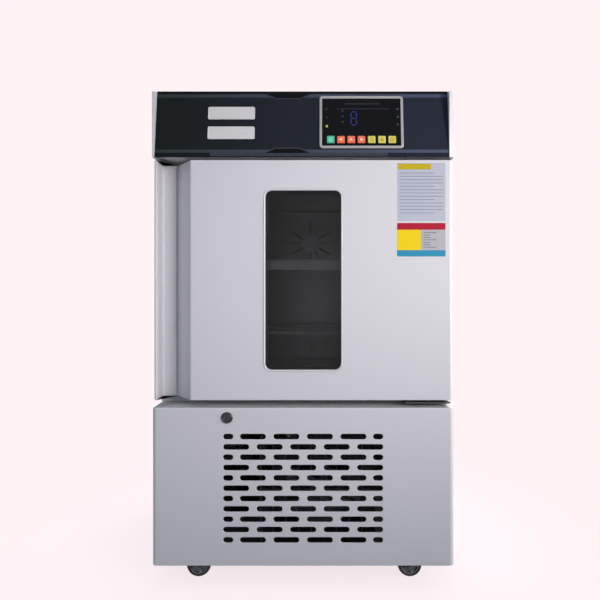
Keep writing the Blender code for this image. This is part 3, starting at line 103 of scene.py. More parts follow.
def linear(code):
    """Linear red, green and blue of an sRGB hex colour."""
    channels = [int(code[k:k + 2], 16) / 255 for k in (1, 3, 5)]
    return tuple(c / 12.92 if c <= 0.04045 else ((c + 0.055) / 1.055) ** 2.4 for c in channels)


def length(name, description, millimetres):
    """A size that a user can change, given in millimetres."""
    return FloatProperty(name=name, description=description, default=millimetres * MM, unit="LENGTH", min=0)


def colour(name, description, code):
    """A colour that a user can change, given as sRGB hex."""
    return FloatVectorProperty(name=name, description=description, default=linear(code), subtype="COLOR",
                               min=0, max=1)


class IncubatorSizes(bpy.types.PropertyGroup):
    """Sizes of the surfaces that are modelled here."""

    sheet: length("Sheet", "Thickness of the cabinet's sheet steel", 1.5)
    corner_radius: length("Corner radius", "Radius of the machine cover's upright front corners", 9)
    fold_radius: length("Fold radius", "Radius of the fold between the machine cover's walls and top", 2.5)
    hem: length("Hem", "Radius of the roll under the machine cover", 2.2)
    hem_width: length("Hem width", "How far the machine cover is folded in underneath", 8)
    slot_length: length("Slot length", "Length of a long vent slot", 51.5)
    short_slot: length("Short slot", "Length of the slot at each end of every other row", 20)
    slot_height: length("Slot height", "Height of a vent slot", 11)
    slot_pitch_x: length("Slot pitch across", "Distance between neighbouring slots of a row", 66.5)
    slot_pitch_z: length("Slot pitch up", "Distance between rows of slots", 20.5)
    slot_top_z: length("Top row height", "Height of the top row's middle above the floor", 303)
    slot_rows: IntProperty(name="Slot rows", description="Rows of vent slots", default=11, min=1)
    slot_columns: IntProperty(name="Slot columns", description="Long slots in a full row", default=5, min=2)
    door_edge: length("Door edge", "Radius of the door's upright right edge", 6.5)
    door_end: length("Door end", "Radius of the door's top and bottom edges", 1.5)
    grip_lip: length("Grip lip", "Width of the lip left of the grip channel", 5.5)
    grip_floor: length("Grip floor", "Width of the grip channel's floor", 31.5)
    grip_depth: length("Grip depth", "Depth of the grip channel", 48)
    grip_mouth: length("Grip mouth", "From the door's left edge to the right edge of the grip channel", 73.5)
    window_width: length("Window width", "Width of the glass", 151)
    window_height: length("Window height", "Height of the glass", 356)
    window_radius: length("Window corner", "Radius of the glass corners", 13)
    window_rim: length("Window rim", "Width of the trim round the glass", 3)
    fascia_lean: length("Fascia lean", "How far the fascia's top lies behind its bottom", 19)
    fascia_thick: length("Fascia thickness", "Thickness of the fascia board", 3)
    cheek: length("Right cheek", "Width of the white edge right of the fascia", 9.8)
    left_cheek: length("Left cheek", "Width of the white edge left of the fascia", 4.8)
    display_width: length("Display width", "Width of the silver frame", 168)
    display_height: length("Display height", "Height of the silver frame", 110)
    display_bar: length("Display bar", "Width of the silver frame's bars", 5.4)
    key_size: length("Key size", "Width and height of a key", 15)
    key_pitch: length("Key pitch", "Distance between neighbouring keys", 20.4)
    card_width: length("Card width", "Width of the two printed cards on the door", 96)


class IncubatorColours(bpy.types.PropertyGroup):
    """Colours of the finishes."""

    paint: colour("Paint", "Powder coat of the cabinet and the door", "#d7d5da")
    stainless: colour("Stainless steel", "Chamber, shelves and shelf supports", "#b9bbbe")
    aluminium: colour("Aluminium", "Fins and the circulation fan", "#c2c4c8")
    zinc: colour("Zinc", "Plated brackets, forks and lock", "#a3a6aa")
    # painted shading: the fascia's right end is given a lighter, bluer colour and its left end a darker one, as
    # the light falls from the right
    fascia: colour("Fascia", "Right end of the black fascia", "#292d3b")
    fascia_left_shaded: colour("Fascia, left end", "Left end of the black fascia", "#181d1d")
    silver: colour("Silver", "Label plates", "#d2d3d3")
    frame_silver: colour("Frame silver", "Frame round the display", "#a3a3a2")
    black: colour("Black", "Moulded black parts", "#17181b")
    grey: colour("Grey", "Moulded grey parts", "#94979b")
    white: colour("White", "Moulded white parts", "#dcdce0")
    glass: colour("Glass", "Tint of the window", "#c1c4c5")
    teal: colour("Teal", "First key", "#4bbf9b")
    orange: colour("Orange", "Second to fourth keys", "#f0704c")
    yellow: colour("Yellow", "Fifth to seventh keys", "#d8cf60")
    backdrop: colour("Backdrop", "Floor and background", "#fff3f6")


def sizes():
    """The sizes in use."""
    return bpy.context.scene.incubator_sizes


def colours():
    """The colours in use."""
    return bpy.context.scene.incubator_colours


def arc(centre, radius, start, end, steps=6):
    """Points of an arc between two angles in degrees, as complex numbers: centre + radius * e^(i angle)."""
    return centre + radius * np.exp(1j * np.radians(np.linspace(start, end, steps + 1)))


def round_rect(width, height, radius, centre=0, steps=6):
    """Outline of a round-cornered rectangle: a quarter circle turned to each corner in turn."""
    quarter_turn = radius * np.exp(1j * np.linspace(0, np.pi / 2, steps + 1))
    reach_x, reach_y = width / 2 - radius, height / 2 - radius
    corners = np.array([complex(reach_x, reach_y), complex(-reach_x, reach_y),
                        complex(-reach_x, -reach_y), complex(reach_x, -reach_y)])
    return (centre + corners[:, None] + 1j ** np.arange(4)[:, None] * quarter_turn).ravel()


def joined(*stretches):
    """One closed outline from stretches laid end to end, without the points that two of them share."""
    whole = np.concatenate([np.atleast_1d(stretch) for stretch in stretches])
    return whole[np.abs(whole - np.roll(whole, 1)) > MERGE]


def drawn_in(outline, distance):
    """A counter-clockwise outline moved inwards: each point goes along the mean normal of its two sides."""
    ahead = np.roll(outline, -1) - outline
    ahead = ahead / np.abs(ahead)
    bisector = 1j * (ahead + np.roll(ahead, 1))
    bisector = bisector / np.abs(bisector)
    square = np.maximum((bisector * np.conj(1j * ahead)).real, 0.5)
    return outline + distance * bisector / square


def quarter(radius, steps=4):
    """Inset and drop along a quarter-round edge, from the side (0, radius) to the face (radius, 0)."""
    turn = np.linspace(0, np.pi / 2, steps + 1)
    return np.stack([radius * (1 - np.cos(turn)), radius * (1 - np.sin(turn))], -1)


def standing(outline, y):
    """An outline of x + iz at a depth, as points."""
    return np.stack([outline.real, np.broadcast_to(y, outline.shape), outline.imag], -1)


def lying(outline, z):
    """An outline of x + iy at a height, as points."""
    return np.stack([outline.real, outline.imag, np.broadcast_to(z, outline.shape)], -1)


def surface(points, around=False, along=False, caps=(), gaps=()):
    """A patch over a grid of points: its points, its quads and its capped rows.

    Around joins each row's ends, and along joins the last row to the first. Quads whose middle lies in a gap
    (lowest x, highest x, lowest z, highest z) are left out.
    """
    points = np.asarray(points, float)
    rows, columns = points.shape[:2]
    index = np.arange(rows * columns).reshape(rows, columns)
    ends = [index[row] for row in caps]
    if around:
        index = np.hstack([index, index[:, :1]])
    if along:
        index = np.vstack([index, index[:1]])
    quads = np.stack([index[:-1, :-1], index[:-1, 1:], index[1:, 1:], index[1:, :-1]], -1).reshape(-1, 4)
    flat = points.reshape(-1, 3)
    middle = flat[quads].mean(axis=1)
    for x0, x1, z0, z1 in gaps:
        inside = (middle[:, 0] > x0) & (middle[:, 0] < x1) & (middle[:, 2] > z0) & (middle[:, 2] < z1)
        quads, middle = quads[~inside], middle[~inside]
    return flat, quads, ends


def moved(patch, matrix):
    """The same patch after a turn or a move."""
    points, quads, ends = patch
    matrix = np.array(matrix)
    return points @ matrix[:3, :3].T + matrix[:3, 3], quads, ends


def prism(outline, y0, y1):
    """An outline of x + iz carried straight from one depth to another, closed at both ends."""
    return surface([standing(outline, y0), standing(outline, y1)], around=True, caps=(0, -1))


def slab(width, height, radius, centre, back, front, edge, steps=6):
    """A round-cornered plate facing -Y: its outline goes forward, then in along a quarter-round edge."""
    rows = [standing(round_rect(width, height, radius, centre, steps), back)]
    for inset, drop in quarter(edge):
        corner = max(radius - inset, 0.1 * MM)
        outline = round_rect(width - 2 * inset, height - 2 * inset, corner, centre, steps)
        rows.append(standing(outline, front + drop))
    return surface(rows, around=True, caps=(0, -1))


def carried(profile, width, height, radius, centre, steps=8):
    """A closed profile of (distance outwards, depth) carried round a round-cornered rectangle."""
    rows = [standing(round_rect(width + 2 * out, height + 2 * out, radius + out, centre, steps), y)
            for out, y in profile]
    return surface(rows, around=True, along=True)


def turned(profile, steps=48, closed=True):
    """A profile of (radius, depth) turned round the Y axis: x and z are the radius times cosine and sine."""
    radius, depth = np.array(profile, float).T
    circle = np.exp(1j * np.linspace(0, 2 * np.pi, steps, endpoint=False))
    points = np.stack([standing(r * circle, y) for r, y in zip(radius, depth)])
    return surface(points, around=True, along=closed, caps=() if closed else (0, -1))


def tube(path, radius, closed=True, steps=10):
    """A round bar along a level path: each circle lies across the path, between its side and straight up."""
    if closed:
        ahead = np.roll(path, -1) - np.roll(path, 1)
    else:
        ahead = np.gradient(path.real) + 1j * np.gradient(path.imag)
    side = 1j * ahead / np.abs(ahead)
    turn = np.linspace(0, 2 * np.pi, steps, endpoint=False)
    across = path[:, None] + radius * np.cos(turn) * side[:, None]
    points = lying(across, radius * np.sin(turn))
    return surface(points, around=True, along=closed, caps=() if closed else (0, -1))


def block_border(xs, zs):
    """Points round a block of lattice lines, counter-clockwise from its lower left corner, as x + iz."""
    return np.concatenate([xs[:-1] + 1j * zs[0], xs[-1] + 1j * zs[:-1], xs[:0:-1] + 1j * zs[-1],
                           xs[0] + 1j * zs[:0:-1]])


def pulled(border, centre, half_width, half_height, radius, away):
    """Border points pulled onto a round-cornered hole: nearest point of its core, then out by the radius."""
    offset = border - centre
    near = (np.clip(offset.real, radius - half_width, half_width - radius)
            + 1j * np.clip(offset.imag, radius - half_height, half_height - radius))
    towards = offset - near
    return centre + near + (radius + away) * towards / np.abs(towards)


def hole_tile(xs, zs, hole, front, back, roll):
    """The sheet between a block's border and its hole: face, rolled edge, wall of the hole and back."""
    border = block_border(xs, zs)
    rows = [standing(border, front)]
    for away, drop in quarter(roll)[::-1]:
        rows.append(standing(pulled(border, *hole, away), front + drop))
    rows += [standing(pulled(border, *hole, 0), back), standing(border, back)]
    return surface(rows, around=True)


def within(lines, low, high):
    """The lattice lines from one place to another, both ends included."""
    return lines[(lines > low - 0.1 * MM) & (lines < high + 0.1 * MM)]


def holed_sheet(xs, zs, front, back, roll, holes, closed=True):
    """A flat sheet facing -Y over lattice lines, with holes; closed gives it a wall round its border.

    Each hole is its block's lowest and highest x and z, then its centre, half width, half height and radius.
    """
    gaps = [block for block, _ in holes]
    patches = []
    for y in (front, back):
        grid = np.stack(np.broadcast_arrays(xs[None, :], y, zs[:, None]), -1)
        patches.append(surface(grid, gaps=gaps))
    for (x0, x1, z0, z1), hole in holes:
        patches.append(hole_tile(within(xs, x0, x1), within(zs, z0, z1), hole, front, back, roll))
    if closed:
        border = block_border(xs, zs)
        patches.append(surface([standing(border, front), standing(border, back)], around=True))
    return patches


def add_piece(name, patches, finish, body, slot=None, replaces=(), bevel=0.0, place=None):
    """Make one piece from patches, put in their place and joined where they meet."""
    if place is not None:
        patches = [moved(patch, place) for patch in patches]
    starts = np.cumsum([0] + [len(points) for points, _, _ in patches])
    faces = []
    for start, (_, quads, ends) in zip(starts, patches):
        faces += (quads + start).tolist() + [(end + start).tolist() for end in ends]
    mesh = bpy.data.meshes.new(name)
    mesh.from_pydata(np.concatenate([points for points, _, _ in patches]).tolist(), [], faces)
    finish_piece(name, mesh, finish, body, slot, replaces, bevel)


def finish_piece(name, mesh, finish, body, slot, replaces, bevel):
    """Merge a mesh's doubles, turn its faces outwards, soften its edges and let it ride on its body."""
    bm = bmesh.new()
    bm.from_mesh(mesh)
    bmesh.ops.remove_doubles(bm, verts=bm.verts, dist=MERGE)
    bmesh.ops.recalc_face_normals(bm, faces=bm.faces)
    bm.to_mesh(mesh)
    bm.free()
    mesh.shade_smooth()
    mesh.set_sharp_from_angle(angle=SHARP)
    mesh.materials.clear()
    mesh.materials.append(finish)
    obj = bpy.data.objects.new(name, mesh)
    bpy.context.scene.collection.objects.link(obj)
    if bevel:
        soften = obj.modifiers.new("soft edges", "BEVEL")
        soften.width = bevel
        soften.segments = 2
        soften.limit_method = "ANGLE"
        soften.angle_limit = SHARP
    weighted = obj.modifiers.new("flat faces", "WEIGHTED_NORMAL")
    weighted.keep_sharp = True
    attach(obj, body)
    if replaces:
        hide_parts(*replaces)


def dress(node, finish, slot, bevel):
    """A smooth copy of a part's own shape, with its flat faces whole and its edges softened."""
    source = frame["nodes"][node]
    mesh = source.data.copy()
    bm = bmesh.new()
    bm.from_mesh(mesh)
    bmesh.ops.remove_doubles(bm, verts=bm.verts, dist=MERGE)
    bmesh.ops.dissolve_limit(bm, angle_limit=math.radians(1), verts=bm.verts, edges=bm.edges)
    bm.to_mesh(mesh)
    bm.free()
    finish_piece("finished_" + node, mesh, finish, source["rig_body"], slot, (node,), bevel)


def node(tree, kind, inputs=None, **settings):
    """Add one shader node: settings are its own, and inputs hold a value or the socket that feeds each."""
    made = tree.nodes.new(kind)
    for name, value in settings.items():
        setattr(made, name, value)
    for key, value in (inputs or {}).items():
        if isinstance(value, bpy.types.NodeSocket):
            tree.links.new(value, made.inputs[key])
        else:
            made.inputs[key].default_value = value
    return made


def blank(name):
    """A new material with its node tree and its Principled shader."""
    mat = bpy.data.materials.new(name)
    mat.use_nodes = True
    return mat, mat.node_tree, mat.node_tree.nodes["Principled BSDF"]


def shade_of(rgb, factor):
    """A colour made darker or lighter, with its alpha."""
    return tuple(min(1.0, c * factor) for c in rgb) + (1.0,)


def grained(name, rgb, roughness, grain, relief, metallic=0.0, stretch=(1, 1, 1), shade=0.04, spread=0.06,
            ior=1.5, specular=0.5, drift=0.02):
    """A material whose grain shows in its colour, its gloss and its surface.

    Grain is the grain's size and relief its height, both in metres. A grain too fine for the render is drawn
    as coarse as it needs to show. Stretch draws it out along the axes. Shade is how much the hollows darken,
    spread how far the roughness wanders, and drift how far the colour changes slowly over the whole part.
    """
    mat, tree, shader = blank(name)
    place = node(tree, "ShaderNodeTexCoord").outputs["Object"]
    drawn = node(tree, "ShaderNodeMapping", {"Vector": place, "Scale": [1 / s for s in stretch]}).outputs[0]
    fine = node(tree, "ShaderNodeTexNoise", {"Vector": drawn, "Scale": 1 / grain,
                                             "Detail": 3.0}).outputs["Fac"]
    slow = node(tree, "ShaderNodeTexNoise", {"Vector": place, "Scale": 1 / (250 * MM),
                                             "Detail": 1.0}).outputs["Fac"]
    tint = node(tree, "ShaderNodeMix", {0: fine, 6: shade_of(rgb, 1 - shade), 7: shade_of(rgb, 1 + shade)},
                data_type="RGBA").outputs[2]
    wander = node(tree, "ShaderNodeMix", {0: slow, 6: shade_of(rgb, 1 - drift), 7: shade_of(rgb, 1 + drift)},
                  data_type="RGBA").outputs[2]
    base = node(tree, "ShaderNodeMix", {0: 0.5, 6: tint, 7: wander}, data_type="RGBA").outputs[2]
    gloss = node(tree, "ShaderNodeMapRange", {"Value": fine, "To Min": max(roughness - spread, 0.02),
                                              "To Max": roughness + spread}).outputs[0]
    bump = node(tree, "ShaderNodeBump", {"Height": fine, "Distance": relief}).outputs[0]
    tree.links.new(base, shader.inputs["Base Color"])
    tree.links.new(gloss, shader.inputs["Roughness"])
    tree.links.new(bump, shader.inputs["Normal"])
    shader.inputs["Metallic"].default_value = metallic
    shader.inputs["IOR"].default_value = ior
    shader.inputs["Specular IOR Level"].default_value = specular
    return mat


@cache
def powder_coat():
    """Powder coat, sprayed and baked on steel: a soft satin sheen over a faint orange peel."""
    return grained("powder_coated_steel", colours().paint, 0.36, 1.6 * MM, 0.01 * MM, shade=0.012, drift=0.01)


@cache
def stainless():
    """Stainless steel, brushed along the sheet: long fine streaks that stretch each highlight."""
    return grained("brushed_stainless_steel", colours().stainless, 0.3, 1.2 * MM, 0.008 * MM, metallic=1.0,
                   stretch=(40, 1, 1), shade=0.06, spread=0.08)


@cache
def drawn_wire():
    """Stainless wire, drawn and electropolished: bright with a slight waviness."""
    return grained("polished_stainless_wire", colours().stainless, 0.22, 3 * MM, 0.01 * MM, metallic=1.0)


@cache
def aluminium():
    """Aluminium, rolled thin for fins and blades: dull silver with a fine rolling grain."""
    return grained("rolled_aluminium", colours().aluminium, 0.38, 1.5 * MM, 0.01 * MM, metallic=1.0,
                   stretch=(1, 1, 12), shade=0.05)


@cache
def zinc():
    """Zinc plate, passivated: a cloudy grey spangle over pressed steel."""
    return grained("zinc_plated_steel", colours().zinc, 0.38, 6 * MM, 0.01 * MM, metallic=1.0, shade=0.12,
                   spread=0.12)


@cache
def dark_chrome():
    """Black nickel on the die-cast lock: a dark mirror with small flow marks."""
    return grained("black_nickel_plated_zinc", linear("#45474b"), 0.14, 4 * MM, 0.01 * MM, metallic=1.0,
                   shade=0.08, spread=0.04)


@cache
def shade_darkened_zinc():
    """Zinc plate with painted shade: drawn as a dull dark grey with paler patches, for the shade that the
    hinges, the caster yokes and the base plate sit in.
    """
    return grained("black_passivated_zinc", linear("#4a4d52"), 0.5, 7 * MM, 0.02 * MM, metallic=0.6,
                   shade=0.15, spread=0.1)


@cache
def shade_darkened_fins():
    """Aluminium fins with painted shade: drawn dark grey for the shade behind the vent slots, dull, with
    streaks down the fins.
    """
    return grained("dusty_aluminium_fins", linear("#3c3e42"), 0.65, 2 * MM, 0.02 * MM, metallic=0.4,
                   stretch=(1, 1, 12), shade=0.15)


@cache
def silver():
    """Aluminium plate, bead-blasted and anodised: an even, dull satin."""
    return grained("anodised_aluminium", colours().silver, 0.5, 0.8 * MM, 0.01 * MM, metallic=0.35)


@cache
def frame_silver():
    """Silver lacquer on the moulded display frame: fine flakes under a soft gloss."""
    return grained("silver_lacquered_abs", colours().frame_silver, 0.42, 0.6 * MM, 0.01 * MM, metallic=0.45,
                   shade=0.06)


@cache
def black_abs():
    """ABS, moulded black with a spark-eroded texture: dull and slightly grainy."""
    return grained("moulded_black_abs", colours().black, 0.5, 1.2 * MM, 0.03 * MM, ior=1.53, shade=0.15)


@cache
def black_enamel():
    """Enamel on the drawn steel compressor: a wet black gloss with slight sags."""
    return grained("black_enamelled_steel", colours().black, 0.28, 8 * MM, 0.05 * MM, shade=0.1)


@cache
def grey_abs():
    """ABS, moulded grey: a fine matt texture."""
    return grained("moulded_grey_abs", colours().grey, 0.46, 1.0 * MM, 0.02 * MM, ior=1.53)


@cache
def grey_frame():
    """ABS breaker frame round the chamber's mouth, extruded: light and slightly glossy."""
    return grained("extruded_grey_abs", linear("#b9bbb8"), 0.4, 1.5 * MM, 0.01 * MM, ior=1.53, shade=0.02)


@cache
def white_abs():
    """ABS, vacuum-formed white: smooth and faintly glossy."""
    return grained("formed_white_abs", colours().white, 0.32, 2.0 * MM, 0.01 * MM, ior=1.53, shade=0.015)


@cache
def seal_rubber():
    """PVC magnetic seal, extruded: matt grey with lines along its length."""
    return grained("extruded_pvc_seal", linear("#8f9198"), 0.62, 1.5 * MM, 0.05 * MM, shade=0.08)


@cache
def tyre_rubber():
    """Thermoplastic rubber, moulded round the wheel: dull black with dust in its grain."""
    return grained("moulded_black_rubber", linear("#070708"), 0.7, 1.5 * MM, 0.06 * MM, shade=0.25)


@cache
def hub_nylon():
    """Nylon hub, moulded grey: a slight waxy sheen."""
    return grained("moulded_grey_nylon", linear("#6d7075"), 0.42, 1.2 * MM, 0.02 * MM, ior=1.53, shade=0.06)


@cache
def foam():
    """Polyurethane foam, blown in place: pale cells."""
    return grained("blown_polyurethane_foam", linear("#d9cfa8"), 0.9, 2.5 * MM, 0.4 * MM, shade=0.12)


@cache
def silicone(name):
    """Silicone rubber key, moulded in its colour: soft, with a dull gloss."""
    return grained("moulded_%s_silicone" % name, getattr(colours(), name), 0.4, 0.8 * MM, 0.02 * MM, ior=1.41,
                   shade=0.05)


@cache
def vinyl(name, code):
    """Vinyl film, printed: flat ink under a thin clear laminate."""
    return grained("printed_%s_vinyl" % name, linear(code), 0.35, 1.0 * MM, 0.01 * MM, ior=1.54, shade=0.02,
                   specular=0.2)


@cache
def ink(name, code, glow=0.0):
    """Ink, printed behind the clear front: flat and even, or lit a little by a lamp behind it."""
    mat = grained(name, linear(code), 0.3, 0.6 * MM, 0.002 * MM, shade=0.05, specular=0.06)
    shader = mat.node_tree.nodes["Principled BSDF"]
    shader.inputs["Emission Color"].default_value = linear(code) + (1.0,)
    shader.inputs["Emission Strength"].default_value = glow
    return mat


@cache
def dark_spacer():
    """Spacer between the panes, extruded and anodised black: a dull dark grey."""
    return grained("black_anodised_spacer", linear("#24272c"), 0.45, 1.5 * MM, 0.01 * MM, shade=0.1)


@cache
def tinted_glass():
    """Float glass with a grey tint: clear and dark, with faint wiping marks in its gloss."""
    mat, tree, shader = blank("grey_float_glass")
    place = node(tree, "ShaderNodeTexCoord").outputs["Object"]
    drawn = node(tree, "ShaderNodeMapping", {"Vector": place, "Scale": (1, 1, 0.3)}).outputs[0]
    smear = node(tree, "ShaderNodeTexNoise", {"Vector": drawn, "Scale": 1 / (25 * MM),
                                              "Detail": 4.0}).outputs["Fac"]
    gloss = node(tree, "ShaderNodeMapRange", {"Value": smear, "To Min": 0.0, "To Max": 0.02}).outputs[0]
    tree.links.new(gloss, shader.inputs["Roughness"])
    tint = tuple(colours().glass) + (1.0,)
    shader.inputs["Base Color"].default_value = tint
    shader.inputs["Transmission Weight"].default_value = 1.0
    shader.inputs["IOR"].default_value = 1.22
    lamp_ray = node(tree, "ShaderNodeLightPath").outputs["Is Shadow Ray"]
    once = tuple(math.sqrt(c) for c in tint)
    passed = node(tree, "ShaderNodeBsdfTransparent", {"Color": once}).outputs[0]
    whole = node(tree, "ShaderNodeMixShader", {0: lamp_ray, 1: shader.outputs[0], 2: passed}).outputs[0]
    tree.links.new(whole, tree.nodes["Material Output"].inputs["Surface"])
    return mat


# Bands up the printed fascia: where each starts, and how many times as bright as the panel's colour it is
FASCIA_BANDS = (
    (0 * MM, 0.8),  # dark bottom edge
    (8.5 * MM, 3.6),  # lower stripe
    (15 * MM, 1.0),  # panel
    (124.5 * MM, 3.4),  # upper stripe
    (132 * MM, 0.4),  # dark top edge
)


def fascia_place():
    """Carries the fascia's own coordinates, x across and z up its face, to the cabinet's."""
    lean = math.atan2(sizes().fascia_lean, TOP_Z - HEAD_Z)
    return Matrix.Translation((0, FRONT, HEAD_Z)) @ Matrix.Rotation(-lean, 4, "X")


def fascia_height():
    """Length of the fascia up its slope."""
    return math.hypot(sizes().fascia_lean, TOP_Z - HEAD_Z)


@cache
def printed_board():
    """Acrylic, printed black behind: a deep gloss with a stripe near each long edge, and painted shading that
    leaves it darker at the left end and lighter and bluer at the right end, where the light falls.
    """
    mat, tree, shader = blank("back_printed_acrylic")
    place = fascia_place()
    at = node(tree, "ShaderNodeTexCoord").outputs["Object"]
    own = node(tree, "ShaderNodeMapping", {"Vector": at, "Location": place.translation,
                                           "Rotation": place.to_euler()}, vector_type="TEXTURE").outputs[0]
    split = node(tree, "ShaderNodeSeparateXYZ", {0: own}).outputs
    across = node(tree, "ShaderNodeMapRange", {"Value": split["X"], "From Min": -HALF,
                                               "From Max": HALF}).outputs[0]
    # painted shading: the board's colour runs from the darker left end to the lighter, bluer right end, as the
    # light falls from the right
    panel = node(tree, "ShaderNodeMix", {0: across, 6: tuple(colours().fascia_left_shaded) + (1.0,),
                                         7: tuple(colours().fascia) + (1.0,)}, data_type="RGBA").outputs[2]
    up = node(tree, "ShaderNodeMapRange", {"Value": split["Z"], "From Max": fascia_height()}).outputs[0]
    ramp = node(tree, "ShaderNodeValToRGB", {"Fac": up})
    ramp.color_ramp.interpolation = "CONSTANT"
    stops = ramp.color_ramp.elements
    while len(stops) < len(FASCIA_BANDS):
        stops.new(0.5)
    brightest = max(light for _, light in FASCIA_BANDS)
    for stop, (start, light) in zip(stops, FASCIA_BANDS):
        stop.position = start / fascia_height()
        stop.color = (light / brightest,) * 3 + (1.0,)
    banded = node(tree, "ShaderNodeVectorMath", {0: panel, 1: ramp.outputs["Color"]},
                  operation="MULTIPLY").outputs[0]
    full = node(tree, "ShaderNodeVectorMath", {0: banded, "Scale": brightest}, operation="SCALE").outputs[0]
    haze = node(tree, "ShaderNodeTexNoise", {"Vector": at, "Scale": 1 / (30 * MM),
                                             "Detail": 3.0}).outputs["Fac"]
    gloss = node(tree, "ShaderNodeMapRange", {"Value": haze, "To Min": 0.14, "To Max": 0.24}).outputs[0]
    tree.links.new(full, shader.inputs["Base Color"])
    tree.links.new(gloss, shader.inputs["Roughness"])
    shader.inputs["IOR"].default_value = 1.49
    shader.inputs["Specular IOR Level"].default_value = 0.06
    return mat


@cache
def display_black():
    """Acrylic display window, cast and smoked: nearly black and glossy."""
    return grained("smoked_acrylic", linear("#0b0e14"), 0.12, 12 * MM, 0.002 * MM, ior=1.49, shade=0.1,
                   spread=0.04, specular=0.08)


class Maker(bpy.types.Operator):
    """Base of the operators that make pieces."""

    bl_options = {"REGISTER", "UNDO"}


class INCUBATOR_OT_machine_cover(Maker):
    """Folded cover of the machine compartment with its vent slots and its top"""

    bl_idname = "incubator.machine_cover"
    bl_label = "Machine cover"

    def execute(self, context):
        """A plan outline carried up the walls and over the fold, with a slotted lattice as its front."""
        size = context.scene.incubator_sizes
        inner = size.sheet
        corner = size.corner_radius
        straight = HALF - corner
        back = HIGH["lower_shell"].y
        reach = size.slot_pitch_x * size.slot_columns / 2
        field_top = size.slot_top_z + size.slot_pitch_z / 2
        field_bottom = field_top - size.slot_rows * size.slot_pitch_z
        lines_per_slot, lines_per_row = 16, 4
        wide = np.linspace(-reach, reach, lines_per_slot * size.slot_columns + 1)
        xs = np.concatenate([[-straight], wide, [straight]])
        lock_x, _, lock_z = PIVOT["lock_plug"]
        lock_half, barrel = 14 * MM, 9.5 * MM
        fold_z = DECK_Z - size.fold_radius
        field = np.linspace(field_bottom, field_top, lines_per_row * size.slot_rows + 1)
        by_lock = np.linspace(lock_z - lock_half, lock_z + lock_half, 9)
        zs = np.concatenate([[SKIRT_Z], field, by_lock, [fold_z]])
        holes = list(slot_holes(size, field_top))
        lock_block = (-reach, -reach + size.slot_pitch_x / 2, lock_z - lock_half, lock_z + lock_half)
        holes.append((lock_block, (complex(lock_x, lock_z), barrel, barrel, barrel)))

        def plan(inset):
            left = arc(complex(-straight, FRONT + corner), corner - inset, 180, 270)
            right = arc(complex(straight, FRONT + corner), corner - inset, 270, 360)
            front = xs[1:-1] + 1j * (FRONT + inset)
            return np.concatenate([[complex(inset - HALF, back)], left, front, right,
                                   [complex(HALF - inset, back)]])

        walls = [np.stack([lying(plan(inset), z) for z in zs]) for inset in (0, inner)]
        folds = []
        for start in (0, inner):
            rows = [lying(plan(start + inset), DECK_Z - start - drop)
                    for inset, drop in quarter(size.fold_radius - start)]
            folds.append(np.stack(rows))
        front_gap = [(-straight, straight, SKIRT_Z, fold_z)]
        hole_edge = 0.6 * MM
        patches = holed_sheet(xs, zs, FRONT, FRONT + inner, hole_edge, holes, closed=False)
        patches += [surface(wall, gaps=front_gap) for wall in walls]
        patches += [surface(fold, caps=(-1,)) for fold in folds]
        bottom = SKIRT_Z - size.hem
        hem = [lying(plan(inset), bottom + drop) for inset, drop in quarter(size.hem)]
        hem += [lying(plan(size.hem_width), bottom), lying(plan(size.hem_width), bottom + inner),
                lying(plan(inner), bottom + inner), walls[1][0]]
        patches.append(surface(hem))
        for end in (0, -1):
            edges = [np.concatenate([wall[:, end], fold[1:, end]]) for wall, fold in zip(walls, folds)]
            patches.append(surface(edges))
        patches.append(surface([fold[-1, [0, -1]] for fold in folds]))
        add_piece("machine_cover", patches, powder_coat(), "cabinet", "white_paint", ("lower_shell", "deck"))
        return {"FINISHED"}


def slot_holes(size, field_top):
    """Blocks and holes of the vent slots: full rows, and rows with a short slot at each end."""
    pitch, tall = size.slot_pitch_x, size.slot_pitch_z
    reach = pitch * size.slot_columns / 2
    half_run = (size.slot_columns - 1) * pitch / 2 + size.slot_length / 2
    round_end = size.slot_height / 2
    for row in range(size.slot_rows):
        top = field_top - row * tall
        z = top - tall / 2
        shifted = row % 2 == 0
        count = size.slot_columns - shifted
        for column in range(count):
            x = (column - (count - 1) / 2) * pitch
            block = (x - pitch / 2, x + pitch / 2, top - tall, top)
            yield block, (complex(x, z), size.slot_length / 2, round_end, round_end)
        if shifted:
            for side in (-1, 1):
                x0, x1 = sorted((side * (reach - pitch / 2), side * reach))
                middle = side * (half_run - size.short_slot / 2)
                hole = (complex(middle, z), size.short_slot / 2, round_end, round_end)
                yield (x0, x1, top - tall, top), hole


